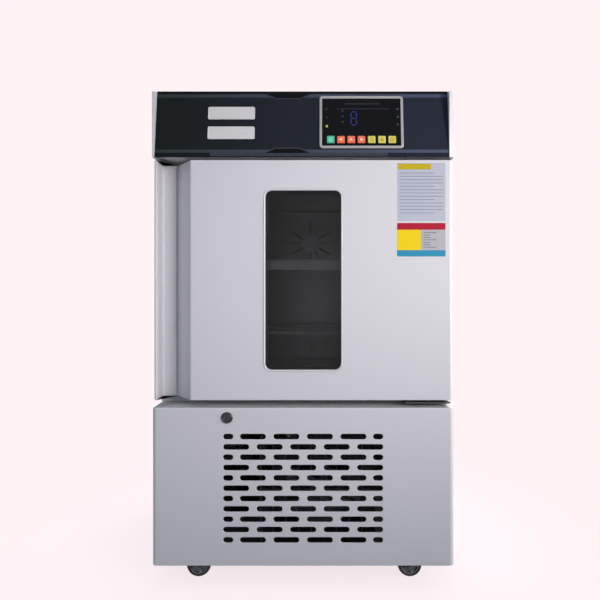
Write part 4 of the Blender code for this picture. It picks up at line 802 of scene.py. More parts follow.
class INCUBATOR_OT_door(Maker):
    """Painted door with its rolled grip channel and the hole for the window"""

    bl_idname = "incubator.door"
    bl_label = "Door"

    def execute(self, context):
        """The door's plan carried up its height and drawn in at its ends, with a hole tile for the window."""
        size = context.scene.incubator_sizes
        lip, lip_deep, lip_roll, mouth_roll, fillet = 4.3 * MM, 11 * MM, 1 * MM, 3 * MM, 2.5 * MM
        seam, seam_slope, seam_depth = 4.5 * MM, 1 * MM, 4 * MM
        inner = DOOR_LEFT + size.grip_lip
        crease = inner + size.grip_floor
        floor = FRONT + size.grip_depth
        slant = math.atan2(size.grip_depth, DOOR_LEFT + size.grip_mouth - crease)
        face_left = DOOR_LEFT + size.grip_mouth + mouth_roll * math.tan(slant / 2)
        edge_middle = complex(DOOR_RIGHT - size.door_edge, FRONT + size.door_edge)
        half_x, half_z = 104 * MM, 208 * MM
        block_xs = np.linspace(WINDOW_X - half_x, WINDOW_X + half_x, 27)
        block_zs = np.linspace(WINDOW_Z - half_z, WINDOW_Z + half_z, 53)
        xs = np.concatenate([[face_left], block_xs, [edge_middle.real]])
        bow = arc(0, 1, 180, 270, 8)
        plan = joined(complex(DOOR_LEFT + lip, FRONT + lip_deep) + bow.real * lip + 1j * bow.imag * lip_deep,
                      arc(complex(inner - lip_roll, FRONT + lip_roll), lip_roll, 270, 360),
                      arc(complex(inner + fillet, floor - fillet), fillet, 180, 90),
                      complex(crease - seam, floor), complex(crease - seam + seam_slope, floor + seam_depth),
                      complex(crease, floor + seam_depth), complex(crease, floor),
                      arc(complex(face_left, FRONT + mouth_roll), mouth_roll, 270 - math.degrees(slant), 270),
                      xs[1:] + 1j * FRONT, arc(edge_middle, size.door_edge, 270, 360),
                      complex(DOOR_RIGHT, CORE_BACK), xs[::-1] + 1j * CORE_BACK,
                      complex(DOOR_LEFT, CORE_BACK))
        ends = quarter(size.door_end)
        rows = [lying(drawn_in(plan, inset), DOOR_BOTTOM + drop) for inset, drop in ends[::-1]]
        rows += [lying(plan, z) for z in block_zs]
        rows += [lying(drawn_in(plan, inset), DOOR_TOP - drop) for inset, drop in ends]
        grow = size.window_rim + GAP
        hole = (complex(WINDOW_X, WINDOW_Z), size.window_width / 2 + grow, size.window_height / 2 + grow,
                size.window_radius + grow)
        gap = (block_xs[0], block_xs[-1], block_zs[0], block_zs[-1])
        hole_edge = 0.8 * MM
        patches = [surface(rows, around=True, caps=(0, -1), gaps=[gap]),
                   hole_tile(block_xs, block_zs, hole, FRONT, CORE_BACK, hole_edge)]
        add_piece("door_body", patches, powder_coat(), "door", "white_paint",
                  ("door_skin", "grip_channel", "door_core"))
        return {"FINISHED"}


class INCUBATOR_OT_window(Maker):
    """Window trim, its two panes and the spacer between them"""

    bl_idname = "incubator.window"
    bl_label = "Window"

    def execute(self, context):
        """A beaded profile and a flat band carried round the glass, and two plates with ground edges."""
        size = context.scene.incubator_sizes
        centre = complex(WINDOW_X, WINDOW_Z)
        glass = (size.window_width, size.window_height, size.window_radius, centre)
        back = HIGH["window_frame"].y
        half_rim, rise = size.window_rim / 2, 1.2 * MM
        bead = [(half_rim + half_rim * math.cos(turn), FRONT - rise * math.sin(turn))
                for turn in np.linspace(0, np.pi, 9)]
        trim = carried([(size.window_rim, back)] + bead + [(0, back)], *glass)
        add_piece("window_trim", [trim], white_abs(), "door", "white_plastic", ("window_frame",))
        y0, y1 = HIGH["outer_glass"].y + GAP, LOW["inner_glass"].y - GAP
        outer, inner = -0.05 * MM, -0.3 * MM
        spacer = carried([(outer, y0), (outer, y1), (inner, y1), (inner, y0)], *glass)
        add_piece("window_spacer", [spacer], dark_spacer(), "door", "black_plastic")
        ground_edge = 0.5 * MM
        for name in ("outer_glass", "inner_glass"):
            low, high = LOW[name], HIGH[name]
            pane = slab(high.x - low.x, high.z - low.z, size.window_radius - GAP, centre, high.y, low.y,
                        ground_edge, 10)
            add_piece(name + "_pane", [pane], tinted_glass(), "door", "tinted_glass", (name,))
        return {"FINISHED"}


class INCUBATOR_OT_door_back(Maker):
    """Moulded inner face of the door and its magnetic seal"""

    bl_idname = "incubator.door_back"
    bl_label = "Door back and seal"

    def execute(self, context):
        """Round-cornered loops from the door's edge over the raised field to the window and back.

        The field rises along half a cosine wave. The seal's section is a flattened circle with a waist.
        """
        size = context.scene.incubator_sizes
        low, high = LOW["door_inner_panel"], HIGH["door_inner_panel"]
        face, raised = LOW["gasket"].y - GAP, high.y
        middle = complex((low.x + high.x) / 2, (low.z + high.z) / 2)
        centre = complex(WINDOW_X, WINDOW_Z)
        grow = size.window_rim + GAP
        edge, slope, window_edge = 1.5 * MM, 5 * MM, 1 * MM
        panel = (high.x - low.x, high.z - low.z, 3 * MM)
        field = (456 * MM, 394 * MM, 14 * MM)
        window = (size.window_width + 2 * grow, size.window_height + 2 * grow, size.window_radius + grow)

        def loop(outline, inset, at, y):
            wide, tall, radius = outline
            return standing(round_rect(wide - 2 * inset, tall - 2 * inset, radius - inset, at, 8), y)

        rows = [loop(panel, 0, middle, low.y)]
        rows += [loop(panel, inset, middle, face - drop) for inset, drop in quarter(edge)]
        rows += [loop(field, 0, centre, face)]
        for turn in np.linspace(0, np.pi, 9):
            rise = (raised - face) * (1 - math.cos(turn)) / 2
            rows.append(loop(field, slope * turn / np.pi, centre, face + rise))
        rows += [loop(window, -inset, centre, raised - drop) for inset, drop in quarter(window_edge)[::-1]]
        rows += [loop(window, 0, centre, low.y)]
        add_piece("door_back_moulding", [surface(rows, around=True, along=True)], white_abs(), "door",
                  "white_plastic", ("door_inner_panel",))
        low, high = LOW["gasket"], HIGH["gasket"]
        lip, corner = 14 * MM, 12 * MM
        middle = complex((low.x + high.x) / 2, (low.z + high.z) / 2)
        half_thick = (high.y - low.y) / 2
        turn = np.linspace(0, 2 * np.pi, 24, endpoint=False)
        waist = 1 - 0.22 * (1 + np.cos(4 * turn)) / 2 * np.abs(np.cos(turn))
        out = lip / 2 + lip / 2 * np.cos(turn) * waist
        depth = low.y + half_thick + half_thick * np.sign(np.sin(turn)) * np.abs(np.sin(turn)) ** 0.6
        inside = (high.x - low.x - 2 * lip, high.z - low.z - 2 * lip)
        seal = carried(list(zip(out, depth)), *inside, corner, middle)
        add_piece("door_seal", [seal], seal_rubber(), "door", "rubber", ("gasket",))
        return {"FINISHED"}


class INCUBATOR_OT_head(Maker):
    """White housing of the control head, open where the fascia sits"""

    bl_idname = "incubator.head"
    bl_label = "Control head"

    def execute(self, context):
        """Plan loops up the head: round the outside and back along the inside, deep between floor and roof.

        The cheeks end level with the door, and slope back to the fascia's top just under the roof.
        """
        size = context.scene.incubator_sizes
        round_left, round_right, top_edge = 0.8 * MM, 9 * MM, 3 * MM
        seat, slope_drop, ledge = 3.3 * MM, 7 * MM, 1 * MM
        thinnest = 0.5 * MM
        slope_run = seat + size.fascia_lean
        left, right = size.left_cheek - HALF, HALF - size.cheek

        def plan(z, inset, hollow):
            face = FRONT + seat + size.fascia_lean * (z - HEAD_Z) / (TOP_Z - HEAD_Z)
            cavity = BACK - size.sheet if hollow else face
            nose = FRONT + slope_run * max(0, 1 - (TOP_Z - z) / slope_drop)
            inner_left = max(left, inset - HALF + thinnest)
            left_r = min(round_left, (inner_left - inset + HALF) * 0.8)
            right_r = min(round_right, (HALF - inset - right) * 0.9)
            outline = np.concatenate([
                [complex(inset - HALF, BACK - inset)],
                arc(complex(inset - HALF + left_r, nose + left_r), left_r, 180, 270, 4),
                [complex(inner_left, nose), complex(inner_left, face), complex(left + ledge, face),
                 complex(left + ledge, cavity), complex(right - ledge, cavity), complex(right - ledge, face),
                 complex(right, face), complex(right, nose)],
                arc(complex(HALF - inset - right_r, nose + right_r), right_r, 270, 360, 6),
                [complex(HALF - inset, BACK - inset)]])
            return lying(outline, z)

        floor, roof = HEAD_Z + size.sheet, TOP_Z - top_edge
        rows = [plan(HEAD_Z, 0, False), plan(floor, 0, False), plan(floor, 0, True)]
        rows += [plan(z, 0, True) for z in np.linspace(floor, TOP_Z - slope_drop, 6)[1:]]
        rows += [plan(roof, 0, True), plan(roof, 0, False)]
        rows += [plan(TOP_Z - drop, inset, False) for inset, drop in quarter(top_edge)[1:]]
        add_piece("head_cover", [surface(rows, around=True, caps=(0, -1))], powder_coat(), "cabinet",
                  "white_paint", ("head_shell",))
        return {"FINISHED"}


class INCUBATOR_OT_fascia(Maker):
    """Leaning black fascia with its printed outlines"""

    bl_idname = "incubator.fascia"
    bl_label = "Fascia"

    def execute(self, context):
        """A flat lattice with the display's opening, and thin inlays on it."""
        size = context.scene.incubator_sizes
        place = fascia_place()
        centre, opening = display_measures()
        margin, edge, corner = 12 * MM, 0.4 * MM, 3 * MM
        half_x, half_z = opening[0] / 2 + margin, opening[1] / 2 + margin
        block_xs = np.linspace(centre.real - half_x, centre.real + half_x, 27)
        block_zs = np.linspace(centre.imag - half_z, centre.imag + half_z, 17)
        xs = np.concatenate([[size.left_cheek - HALF], block_xs, [HALF - size.cheek]])
        zs = np.concatenate([[0], block_zs, [fascia_height()]])
        block = (block_xs[0], block_xs[-1], block_zs[0], block_zs[-1])
        hole = (centre, opening[0] / 2 + GAP, opening[1] / 2 + GAP, corner)
        board = holed_sheet(xs, zs, 0, size.fascia_thick, edge, [(block, hole)])
        add_piece("fascia_board", board, printed_board(), "cabinet", "black_gloss", ("fascia",), edge, place)
        flush, proud, line_proud = -0.02 * MM, -0.2 * MM, -0.3 * MM
        middle, wide, narrow, line = -31 * MM, 44 * MM, 24 * MM, 2.2 * MM
        tabs, lines = [], []
        for level, fall in ((132.5 * MM, -9 * MM), (8 * MM, 9 * MM)):
            corners = np.array([complex(middle - wide, level), complex(middle - narrow, level + fall),
                                complex(middle + narrow, level + fall), complex(middle + wide, level)])
            tabs.append(prism(corners, flush, proud))
            stroke = np.concatenate([corners, (corners + 1j * math.copysign(line, fall))[::-1]])
            lines.append(prism(stroke, flush, line_proud))
        add_piece("fascia_tabs", tabs, ink("printed_black_ink", "#0c0e11"), "cabinet", "black_gloss",
                  place=place)
        lines.append(prism(round_rect(353 * MM, 7 * MM, 2 * MM, complex(-8.5, 5) * MM), flush, proud))
        add_piece("fascia_lines", lines, ink("printed_grey_ink", "#3b3f49"), "cabinet", "black_gloss",
                  place=place)
        return {"FINISHED"}


def on_fascia(name):
    """Middle of a part in the fascia's own coordinates, as x + iz."""
    middle = fascia_place().inverted() @ ((LOW[name] + HIGH[name]) / 2)
    return complex(middle.x, middle.z)


def display_measures():
    """Centre of the display in the fascia's own coordinates, and the size of the opening behind its frame."""
    size = sizes()
    lap = 2.5 * MM
    covered = 2 * (size.display_bar - lap)
    return on_fascia("display_bezel"), (size.display_width - covered, size.display_height - covered)


class INCUBATOR_OT_display(Maker):
    """Silver display frame, smoked window and the faint marks on it"""

    bl_idname = "incubator.display"
    bl_label = "Display"

    def execute(self, context):
        """A crowned profile carried round the frame, and a lattice with a hole for each key."""
        size = context.scene.incubator_sizes
        place = fascia_place()
        centre, opening = display_measures()
        bar = size.display_bar
        rise, ledge, rebate, corner = 3 * MM, 1.3 * MM, 2.4 * MM, 1.5 * MM
        outer_round, inner_round = 1.4 * MM, 0.8 * MM
        crown = [(bar - inset, drop - rise) for inset, drop in quarter(outer_round)]
        inside = [(inset, drop - rise) for inset, drop in quarter(inner_round)[::-1]]
        profile = [(bar, -GAP)] + crown + inside + [(0, -ledge), (rebate, -ledge), (rebate, -GAP)]
        mouth = (size.display_width - 2 * bar, size.display_height - 2 * bar)
        add_piece("display_frame", [carried(profile, *mouth, corner, centre)], frame_silver(), "cabinet",
                  "silver", ("display_bezel",), place=place)
        keys = [on_fascia(name) for name in KEYS]
        key_z = keys[0].imag
        half = size.key_pitch / 2
        run = half * len(KEYS)
        half_x, half_z = opening[0] / 2, opening[1] / 2
        key_xs = np.linspace(centre.real - run, centre.real + run, 10 * len(KEYS) + 1)
        key_zs = np.linspace(key_z - half, key_z + half, 11)
        xs = np.concatenate([[centre.real - half_x], key_xs, [centre.real + half_x]])
        zs = np.concatenate([[centre.imag - half_z], key_zs, [centre.imag + half_z]])
        hole_half, hole_corner = size.key_size / 2 + GAP, 1.8 * MM
        holes = [((key.real - half, key.real + half, key_z - half, key_z + half),
                  (key, hole_half, hole_half, hole_corner)) for key in keys]
        pane_front, pane_back, pane_edge = -0.9 * MM, 2.1 * MM, 0.2 * MM
        window = holed_sheet(xs, zs, pane_front, pane_back, pane_edge, holes)
        add_piece("display_window", window, display_black(), "cabinet", "black_gloss", ("display_panel",),
                  place=place)
        under, over = pane_front - 0.02 * MM, pane_front - 0.1 * MM

        def marks(name, finish, *boxes):
            """Bars at x, z from the display's middle, each with its width and height, in millimetres."""
            bars = [prism(round_rect(w * MM, h * MM, min(w, h) * MM / 3, centre + complex(x, z) * MM, 3),
                          under, over) for x, z, w, h in boxes]
            add_piece(name, bars, finish, "cabinet", place=place)

        marks("display_title_bar", ink("dim_grey_print", "#2a2b2e"), (1.6, 39.2, 72, 4))
        marks("display_rule", ink("dim_violet_print", "#2b2c3a"), (2.6, 28.5, 106, 2.4))
        dots = [(73, z, 4.4, 4.4) for z in (28, 11.5, -4.5)] + [(-69.5, z, 2.6, 2.6) for z in (28, 10.5)]
        dots += [(-37.5, z, 3.4, 3.4) for z in (24.5, 12.5, 1)]
        marks("display_dots", ink("pale_grey_print", "#4a4b50"), *dots)
        digit = [(x, z, 2.4, 11) for x in (-20.5, -9.5) for z in (15, 1.5)]
        digit += [(-15, z, 8.5, 2.4) for z in (22, 8.2, -5.5)]
        marks("display_digit", ink("blue_segment", "#28305e", 0.4), *digit)
        marks("display_lamp", ink("green_lamp", "#98a94e", 0.35), (-69, -8, 4.6, 4.6))
        return {"FINISHED"}


class INCUBATOR_OT_keys(Maker):
    """Seven coloured keys with a simple raised sign on each"""

    bl_idname = "incubator.keys"
    bl_label = "Keys"

    def execute(self, context):
        """Pillow-edged plates, each with a thin sign of its own."""
        size = context.scene.incubator_sizes
        place = fascia_place()
        pale = ink("pale_key_print", "#f3d9c8")
        brown = ink("brown_key_print", "#a8782a")
        mint = ink("mint_key_print", "#a5ead2")
        looks = [("teal", mint)] + [("orange", pale)] * 3 + [("yellow", brown)] * 3
        top, bottom, corner, edge = -1.9 * MM, 1.2 * MM, 1.8 * MM, 0.7 * MM
        for name, (finish, sign_ink) in zip(KEYS, looks):
            at = on_fascia(name)
            cap = slab(size.key_size, size.key_size, corner, at, bottom, top, edge)
            add_piece(name + "_cap", [cap], silicone(finish), name, finish, (name,), place=place)
            add_piece(name + "_sign", key_sign(name, at, top), sign_ink, name, place=place)
        return {"FINISHED"}


def key_sign(name, at, top):
    """Sign of a key: a ring and a bar, three arrows, then a square, a pair of bars and a square."""
    under, over = top + 0.1 * MM, top - 0.08 * MM
    line, arrow_radius, bar_offset = 1.1 * MM, 4.2 * MM, 1.8 * MM
    ring = [(line, under), (line, over), (0, over), (0, under)]
    arrows = {"key_2": -1, "key_3": 1j, "key_4": 1}

    def bar(width, height, x):
        return prism(round_rect(width, height, 0.5 * MM, at + x), under, over)

    if name == "key_1":
        return [carried(ring, 6 * MM, 6 * MM, 2.9 * MM, at), bar(1.2 * MM, 5 * MM, 0)]
    if name in arrows:
        corners = arrow_radius * np.exp(2j * np.pi * np.arange(3) / 3)
        return [prism(at + corners * arrows[name], under, over)]
    if name == "key_6":
        return [bar(1.6 * MM, 7 * MM, side * bar_offset) for side in (-1, 1)]
    return [carried(ring, 5 * MM, 5 * MM, 0.6 * MM, at)]


class INCUBATOR_OT_plates(Maker):
    """Two blank silver plates on the fascia"""

    bl_idname = "incubator.plates"
    bl_label = "Blank plates"

    def execute(self, context):
        """Round-cornered plates with a narrow pressed border."""
        height, corner, crest = 26.5 * MM, 3.4 * MM, -1.3 * MM
        border = ((0, -GAP), (0, -0.9 * MM), (0.4 * MM, crest), (1.8 * MM, crest), (2.2 * MM, -1 * MM))
        for name in ("label_plate_upper", "label_plate_lower"):
            at = on_fascia(name)
            width = HIGH[name].x - LOW[name].x
            rows = [standing(round_rect(width - 2 * inset, height - 2 * inset, corner - inset, at, 8), y)
                    for inset, y in border]
            add_piece(name + "_blank", [surface(rows, around=True, caps=(0, -1))], silver(), "cabinet",
                      "silver", (name,), place=fascia_place())
        return {"FINISHED"}


class INCUBATOR_OT_cards(Maker):
    """Two blank printed cards on the door: a ruled sheet and a band of colours"""

    bl_idname = "incubator.cards"
    bl_label = "Printed cards"

    def execute(self, context):
        """Thin round-cornered films one on the other."""
        left = 186.5 * MM
        right = left + context.scene.incubator_sizes.card_width
        sheet_low, sheet_high = 730.6 * MM, 846.5 * MM
        band_low, band_high = 660.5 * MM, 727 * MM
        blue_high, red_low, yellow_right = 673 * MM, 713.5 * MM, left + 47 * MM
        tab_margin, tab_right, tab_low = 2 * MM, left + 67 * MM, 833 * MM
        margin, short_margin = 5 * MM, 22 * MM
        first_rule, rule_pitch, rule_tall = 826 * MM, 6.6 * MM, 1.2 * MM
        first_tick, tick_pitch, tick_tall, tick, long_tick = 679 * MM, 4.8 * MM, 1.1 * MM, 14 * MM, 26 * MM
        thick, corner, film_edge = 0.12 * MM, 1.5 * MM, 0.05 * MM
        line_back, line_front, line_edge = FRONT - 0.2 * MM, FRONT - 0.34 * MM, 0.03 * MM

        def film(name, x0, x1, z0, z1, layer, finish):
            at = complex((x0 + x1) / 2, (z0 + z1) / 2)
            front = FRONT - 0.1 * MM - layer * thick
            plate = slab(x1 - x0, z1 - z0, corner, at, front + thick, front, film_edge)
            add_piece(name, [plate], finish, "door")

        def line(start, end, z, tall):
            at = complex((start + end) / 2, z)
            return slab(end - start, tall, 0.3 * MM, at, line_back, line_front, line_edge, 2)

        film("sheet_card", left, right, sheet_low, sheet_high, 0, vinyl("lilac", "#b9bccb"))
        film("sheet_card_tab", left + tab_margin, tab_right, tab_low, sheet_high - tab_margin, 1,
             vinyl("gold", "#c2ab12"))
        rules = [line(left + margin, right - (margin if row % 4 else short_margin),
                      first_rule - rule_pitch * row, rule_tall) for row in range(13)]
        add_piece("sheet_card_rules", rules, vinyl("grey_rule", "#858797"), "door")
        film("band_card", left, right, band_low, band_high, 0, vinyl("grey", "#b8b3ba"))
        film("band_card_red", left, right, red_low, band_high, 1, vinyl("red", "#ad0f2e"))
        film("band_card_yellow", left, yellow_right, blue_high, red_low, 1, vinyl("yellow", "#efd00c"))
        film("band_card_blue", left, right, band_low, blue_high, 1, vinyl("blue", "#318fb1"))
        tick_left = yellow_right + margin
        ticks = [line(tick_left, tick_left + (tick if row % 3 else long_tick),
                      first_tick + tick_pitch * row, tick_tall) for row in range(7)]
        add_piece("band_card_ticks", ticks, vinyl("dark_tick", "#5d6070"), "door")
        return {"FINISHED"}


class INCUBATOR_OT_lock(Maker):
    """Round lock in the machine cover"""

    bl_idname = "incubator.lock"
    bl_label = "Lock"

    def execute(self, context):
        """A ring turned from its profile; the plug keeps its own shape."""
        x, _, z = PIVOT["lock_plug"]
        low, high = LOW["lock_body"], HIGH["lock_body"]
        flange, proud, depth = (high.x - low.x) / 2, low.y - FRONT, high.y - FRONT
        bore, barrel, lip_round, flange_round = 7.2 * MM, 9.2 * MM, 0.8 * MM, 2.4 * MM
        lip = [(bore + inset, proud + drop) for inset, drop in quarter(lip_round)]
        edge = [(flange - inset, proud + drop) for inset, drop in quarter(flange_round, 6)[::-1]]
        profile = [(bore, depth)] + lip + edge + [(flange, -GAP), (barrel, -GAP), (barrel, depth)]
        add_piece("lock_ring", [turned(profile)], dark_chrome(), "cabinet", "zinc", ("lock_body",),
                  place=Matrix.Translation((x, FRONT, z)))
        dress("lock_plug", dark_chrome(), "zinc", 0.3 * MM)
        return {"FINISHED"}


class INCUBATOR_OT_casters(Maker):
    """Four swivel casters: yoke, tyre and spoked hub"""

    bl_idname = "incubator.casters"
    bl_label = "Casters"

    def execute(self, context):
        """Tyres turned from a rounded tread, hubs as a wavy disc and yokes of pressed plates."""
        bulge, rim, bead, bore = 4 * MM, 6 * MM, 1 * MM, 4.4 * MM
        for name in CASTERS:
            wheel = name + "_wheel"
            low, high = LOW[wheel], HIGH[wheel]
            middle = (low + high) / 2
            radius, half = (high.z - low.z) / 2, (high.y - low.y) / 2
            at = Matrix.Translation(middle)
            tread = [(radius - bulge + bulge * math.cos(turn), (half - bead) * math.sin(turn))
                     for turn in np.linspace(-np.pi / 2, np.pi / 2, 13)]
            seat, seat_half, hub_half = radius - rim, 0.8 * half, 0.78 * half
            profile = [(seat, seat_half), (seat, -seat_half), (seat + bead, -half)] + tread
            profile.append((seat + bead, half))
            add_piece(name + "_tyre", [turned(profile, 64)], tyre_rubber(), wheel, "black_plastic", place=at)
            add_piece(name + "_hub", [hub(seat, bore, hub_half)], hub_nylon(), wheel, "grey_plastic",
                      (wheel,), place=at)
            add_yoke(name, middle)
        return {"FINISHED"}


def hub(rim, bore, half):
    """Spoked hub: on both faces the depth follows five cosine lobes between the boss and the rim."""
    boss_radius, band_width, fade = 8.5 * MM, 3.4 * MM, 1 * MM
    radius = np.concatenate([[bore], np.linspace(bore + 1 * MM, rim - 1.2 * MM, 12), [rim]])
    angle = np.linspace(0, 2 * np.pi, 80, endpoint=False)
    r, a = np.meshgrid(radius, angle, indexing="ij")
    spoke = np.clip(4 * np.cos(5 * a) - 0.6, 0, 1)
    boss = np.clip((boss_radius - r) / fade, 0, 1)
    band = np.clip((r - rim + band_width) / fade, 0, 1)
    face = half * (0.3 + 0.7 * np.maximum(np.maximum(spoke * 0.85, boss), band))
    sides = [np.stack([r * np.cos(a), side * face, r * np.sin(a)], -1) for side in (-1, 1)]
    return surface(np.concatenate([sides[0], sides[1][::-1]]), around=True, along=True)


def add_yoke(name, wheel):
    """Pressed yoke: a turned crown plate, two cheeks with a round end, and an axle bolt with its nuts."""
    fork = name + "_fork"
    low, high = LOW[fork], HIGH[fork]
    x, y, _ = PIVOT[fork]
    crown_radius, crown_edge, crown_tall, bore = 20 * MM, 1.5 * MM, 6 * MM, 4.4 * MM
    crown = turned([(bore, 0), (crown_radius - crown_edge, 0), (crown_radius, crown_edge),
                    (crown_radius, crown_tall), (bore, crown_tall)])
    upright = Matrix.Translation((x, y, high.z)) @ Matrix.Rotation(-math.pi / 2, 4, "X")
    patches = [moved(crown, upright)]
    top, root, end, shoulder = high.z - 3 * MM, 13 * MM, 8 * MM, high.z - 8.5 * MM
    reach = abs(wheel.x - x)
    cheek = joined(complex(-root, top), arc(complex(reach, wheel.z), end, 200, 360, 10),
                   complex(reach + 0.8 * end, shoulder), complex(root, top))
    cheek = cheek.real * math.copysign(1, wheel.x - x) + x + 1j * cheek.imag
    gap, sheet = 9.8 * MM, 2.5 * MM
    axle_half = (high.y - low.y) / 2
    shank_half, shank_radius, nut_radius = axle_half - 1.5 * MM, 4 * MM, 6 * MM
    nut = complex(wheel.x, wheel.z) + nut_radius * np.exp(1j * np.pi * np.arange(6) / 3)
    for side in (-1, 1):
        patches.append(prism(cheek, y + side * gap, y + side * (gap + sheet)))
    shank = turned([(shank_radius, y - shank_half), (shank_radius, y + shank_half)], 32, False)
    patches.append(moved(shank, Matrix.Translation((wheel.x, 0, wheel.z))))
    for side in (-1, 1):
        patches.append(prism(nut, y + side * (gap + sheet - 0.1 * MM), y + side * (axle_half - 0.05 * MM)))
    # painted shade: the yoke's zinc is drawn dark for the shade under the cabinet
    add_piece(name + "_yoke", patches, shade_darkened_zinc(), fork, "zinc", (fork,), 0.4 * MM)


class INCUBATOR_OT_shelves(Maker):
    """Two wire shelves, the upper one with a folded lip"""

    bl_idname = "incubator.shelves"
    bl_label = "Shelves"

    def execute(self, context):
        """A round bar bent to the shelf's frame, three bars across and thin wires from front to back."""
        wires, corner = 26, 12 * MM
        frame_r, cross_r, wire_r = 2.5 * MM, 2 * MM, 1.25 * MM
        lip_tall, lip_thick, lip_inset, lip_edge = 20 * MM, 1.5 * MM, 12 * MM, 0.4 * MM
        for name in ("shelf_upper", "shelf_lower"):
            low, high = LOW[name], HIGH[name]
            middle = complex((low.x + high.x) / 2, (low.y + high.y) / 2)
            half_w, half_d = (high.x - low.x) / 2 - frame_r, (high.y - low.y) / 2 - frame_r
            bars = [tube(round_rect(2 * half_w, 2 * half_d, corner, middle, 8), frame_r)]
            for share in (-0.4, 0, 0.4):
                across = middle + 1j * (high.y - low.y) * share + np.linspace(-half_w, half_w, 3)
                bars.append(tube(across, cross_r, False))
            level = Matrix.Translation((0, 0, low.z + frame_r))
            patches = [moved(bar, level) for bar in bars]
            if name == "shelf_upper":
                lip_at = complex(middle.real, low.z + frame_r - lip_tall / 2)
                front = low.y + frame_r - lip_thick / 2
                patches.append(slab(2 * half_w - 2 * lip_inset, lip_tall, 1 * MM, lip_at, front + lip_thick,
                                    front, lip_edge, 2))
            on_top = Matrix.Translation((0, 0, high.z - wire_r))
            for k in range(wires):
                x = (k + 0.5) / wires * 2 * half_w - half_w
                along = middle + x + 1j * np.linspace(-half_d, half_d, 3)
                patches.append(moved(tube(along, wire_r, False, 8), on_top))
            add_piece(name + "_rack", patches, drawn_wire(), "cabinet", "stainless", (name,))
        return {"FINISHED"}


class INCUBATOR_OT_back(Maker):
    """Rear covers with their louvre slots, screws and the power inlet"""

    bl_idname = "incubator.back"
    bl_label = "Back"

    def execute(self, context):
        """Flat lattices and round-cornered plates, modelled facing -Y and turned to face the back."""
        half_turn = Matrix.Rotation(math.pi, 4, "Z")
        low, high = LOW["power_inlet"], HIGH["power_inlet"]
        inlet = complex(-(low.x + high.x) / 2, (low.z + high.z) / 2)
        add_piece("rear_grille_cover", rear_grille(inlet), powder_coat(), "cabinet", "white_paint",
                  ("rear_grille",), place=half_turn)
        low, high = LOW["rear_panel"], HIGH["rear_panel"]
        centre = complex(0, (low.z + high.z) / 2)
        panel = slab(high.x - low.x, high.z - low.z, 2 * MM, centre, -low.y, -high.y, 0.6 * MM)
        add_piece("rear_panel_cover", [panel], powder_coat(), "cabinet", "white_paint", ("rear_panel",),
                  place=half_turn)
        head = screw_head(3.6 * MM, 1.6 * MM)
        screws = [moved(head, Matrix.Translation((at.real, -BACK, at.imag))) for at in screw_places()]
        add_piece("rear_screws", screws, zinc(), "cabinet", "zinc", place=half_turn)
        add_piece("inlet_socket", [inlet_socket(inlet)], black_abs(), "cabinet", "black_plastic",
                  ("power_inlet",), place=half_turn)
        pin = (2 * MM, 4 * MM, 0.4 * MM)
        face = -HIGH["power_inlet"].y
        pin_root, pin_tip, pin_edge = face + 16.5 * MM, face + 4 * MM, 0.3 * MM
        pins = [slab(*pin, inlet + complex(x, z) * MM, pin_root, pin_tip, pin_edge)
                for x, z in ((-4, -3), (4, -3), (0, 5))]
        add_piece("inlet_pins", pins, zinc(), "cabinet", "zinc", place=half_turn)
        return {"FINISHED"}


def rear_grille(inlet):
    """Patches of the lattice sheet with eight rows of two slots, and an opening for the power inlet."""
    low, high = LOW["rear_grille"], HIGH["rear_grille"]
    pitch, rows, lines_per_row = 18 * MM, 8, 4
    slot_at, slot_half, slot_round = 130 * MM, 90 * MM, 3.5 * MM
    top = high.z - 2.5 * pitch
    bottom = top - rows * pitch
    slot_xs = np.linspace(35 * MM, 225 * MM, 25)
    inlet_xs = np.linspace(-275 * MM, -225 * MM, 9)
    xs = np.concatenate([[-HALF], inlet_xs, -slot_xs[::-1][1:], slot_xs, [HALF]])
    below = bottom - pitch / lines_per_row * np.arange(8, 0, -1)
    zs = np.concatenate([[low.z], below, np.linspace(bottom, top, lines_per_row * rows + 1), [high.z]])
    holes = []
    for row in range(rows):
        z = top - (row + 0.5) * pitch
        for side in (-1, 1):
            x0, x1 = sorted((side * slot_xs[0], side * slot_xs[-1]))
            slot = (complex(side * slot_at, z), slot_half, slot_round, slot_round)
            holes.append(((x0, x1, z - pitch / 2, z + pitch / 2), slot))
    clear, edge = 26 * MM, 0.5 * MM
    opening = (inlet, 14.3 * MM, 24.3 * MM, 2 * MM)
    z0, z1 = zs[zs < inlet.imag - clear][-1], zs[zs > inlet.imag + clear][0]
    holes.append(((inlet_xs[0], inlet_xs[-1], z0, z1), opening))
    return holed_sheet(xs, zs, -high.y, -low.y, edge, holes)


def screw_places():
    """Places of the rear screws as x + iz: round the upper panel, the grille and the head."""
    outer, inner, inset, head_inset = 285 * MM, 95 * MM, 14 * MM, 16 * MM
    low, high = LOW["rear_panel"].z, HIGH["rear_panel"].z
    places = [complex(x, z) for z in (low + inset, (low + high) / 2, high - inset) for x in (-outer, outer)]
    places += [complex(0, z) for z in (low + inset, high - inset)]
    low, high = LOW["rear_grille"].z, HIGH["rear_grille"].z
    places += [complex(x, z) for z in (low + inset, high - inset) for x in (-outer, -inner, inner, outer)]
    head = (HEAD_Z + head_inset, TOP_Z - head_inset)
    return places + [complex(x, z) for z in head for x in (-outer, 0, outer)]


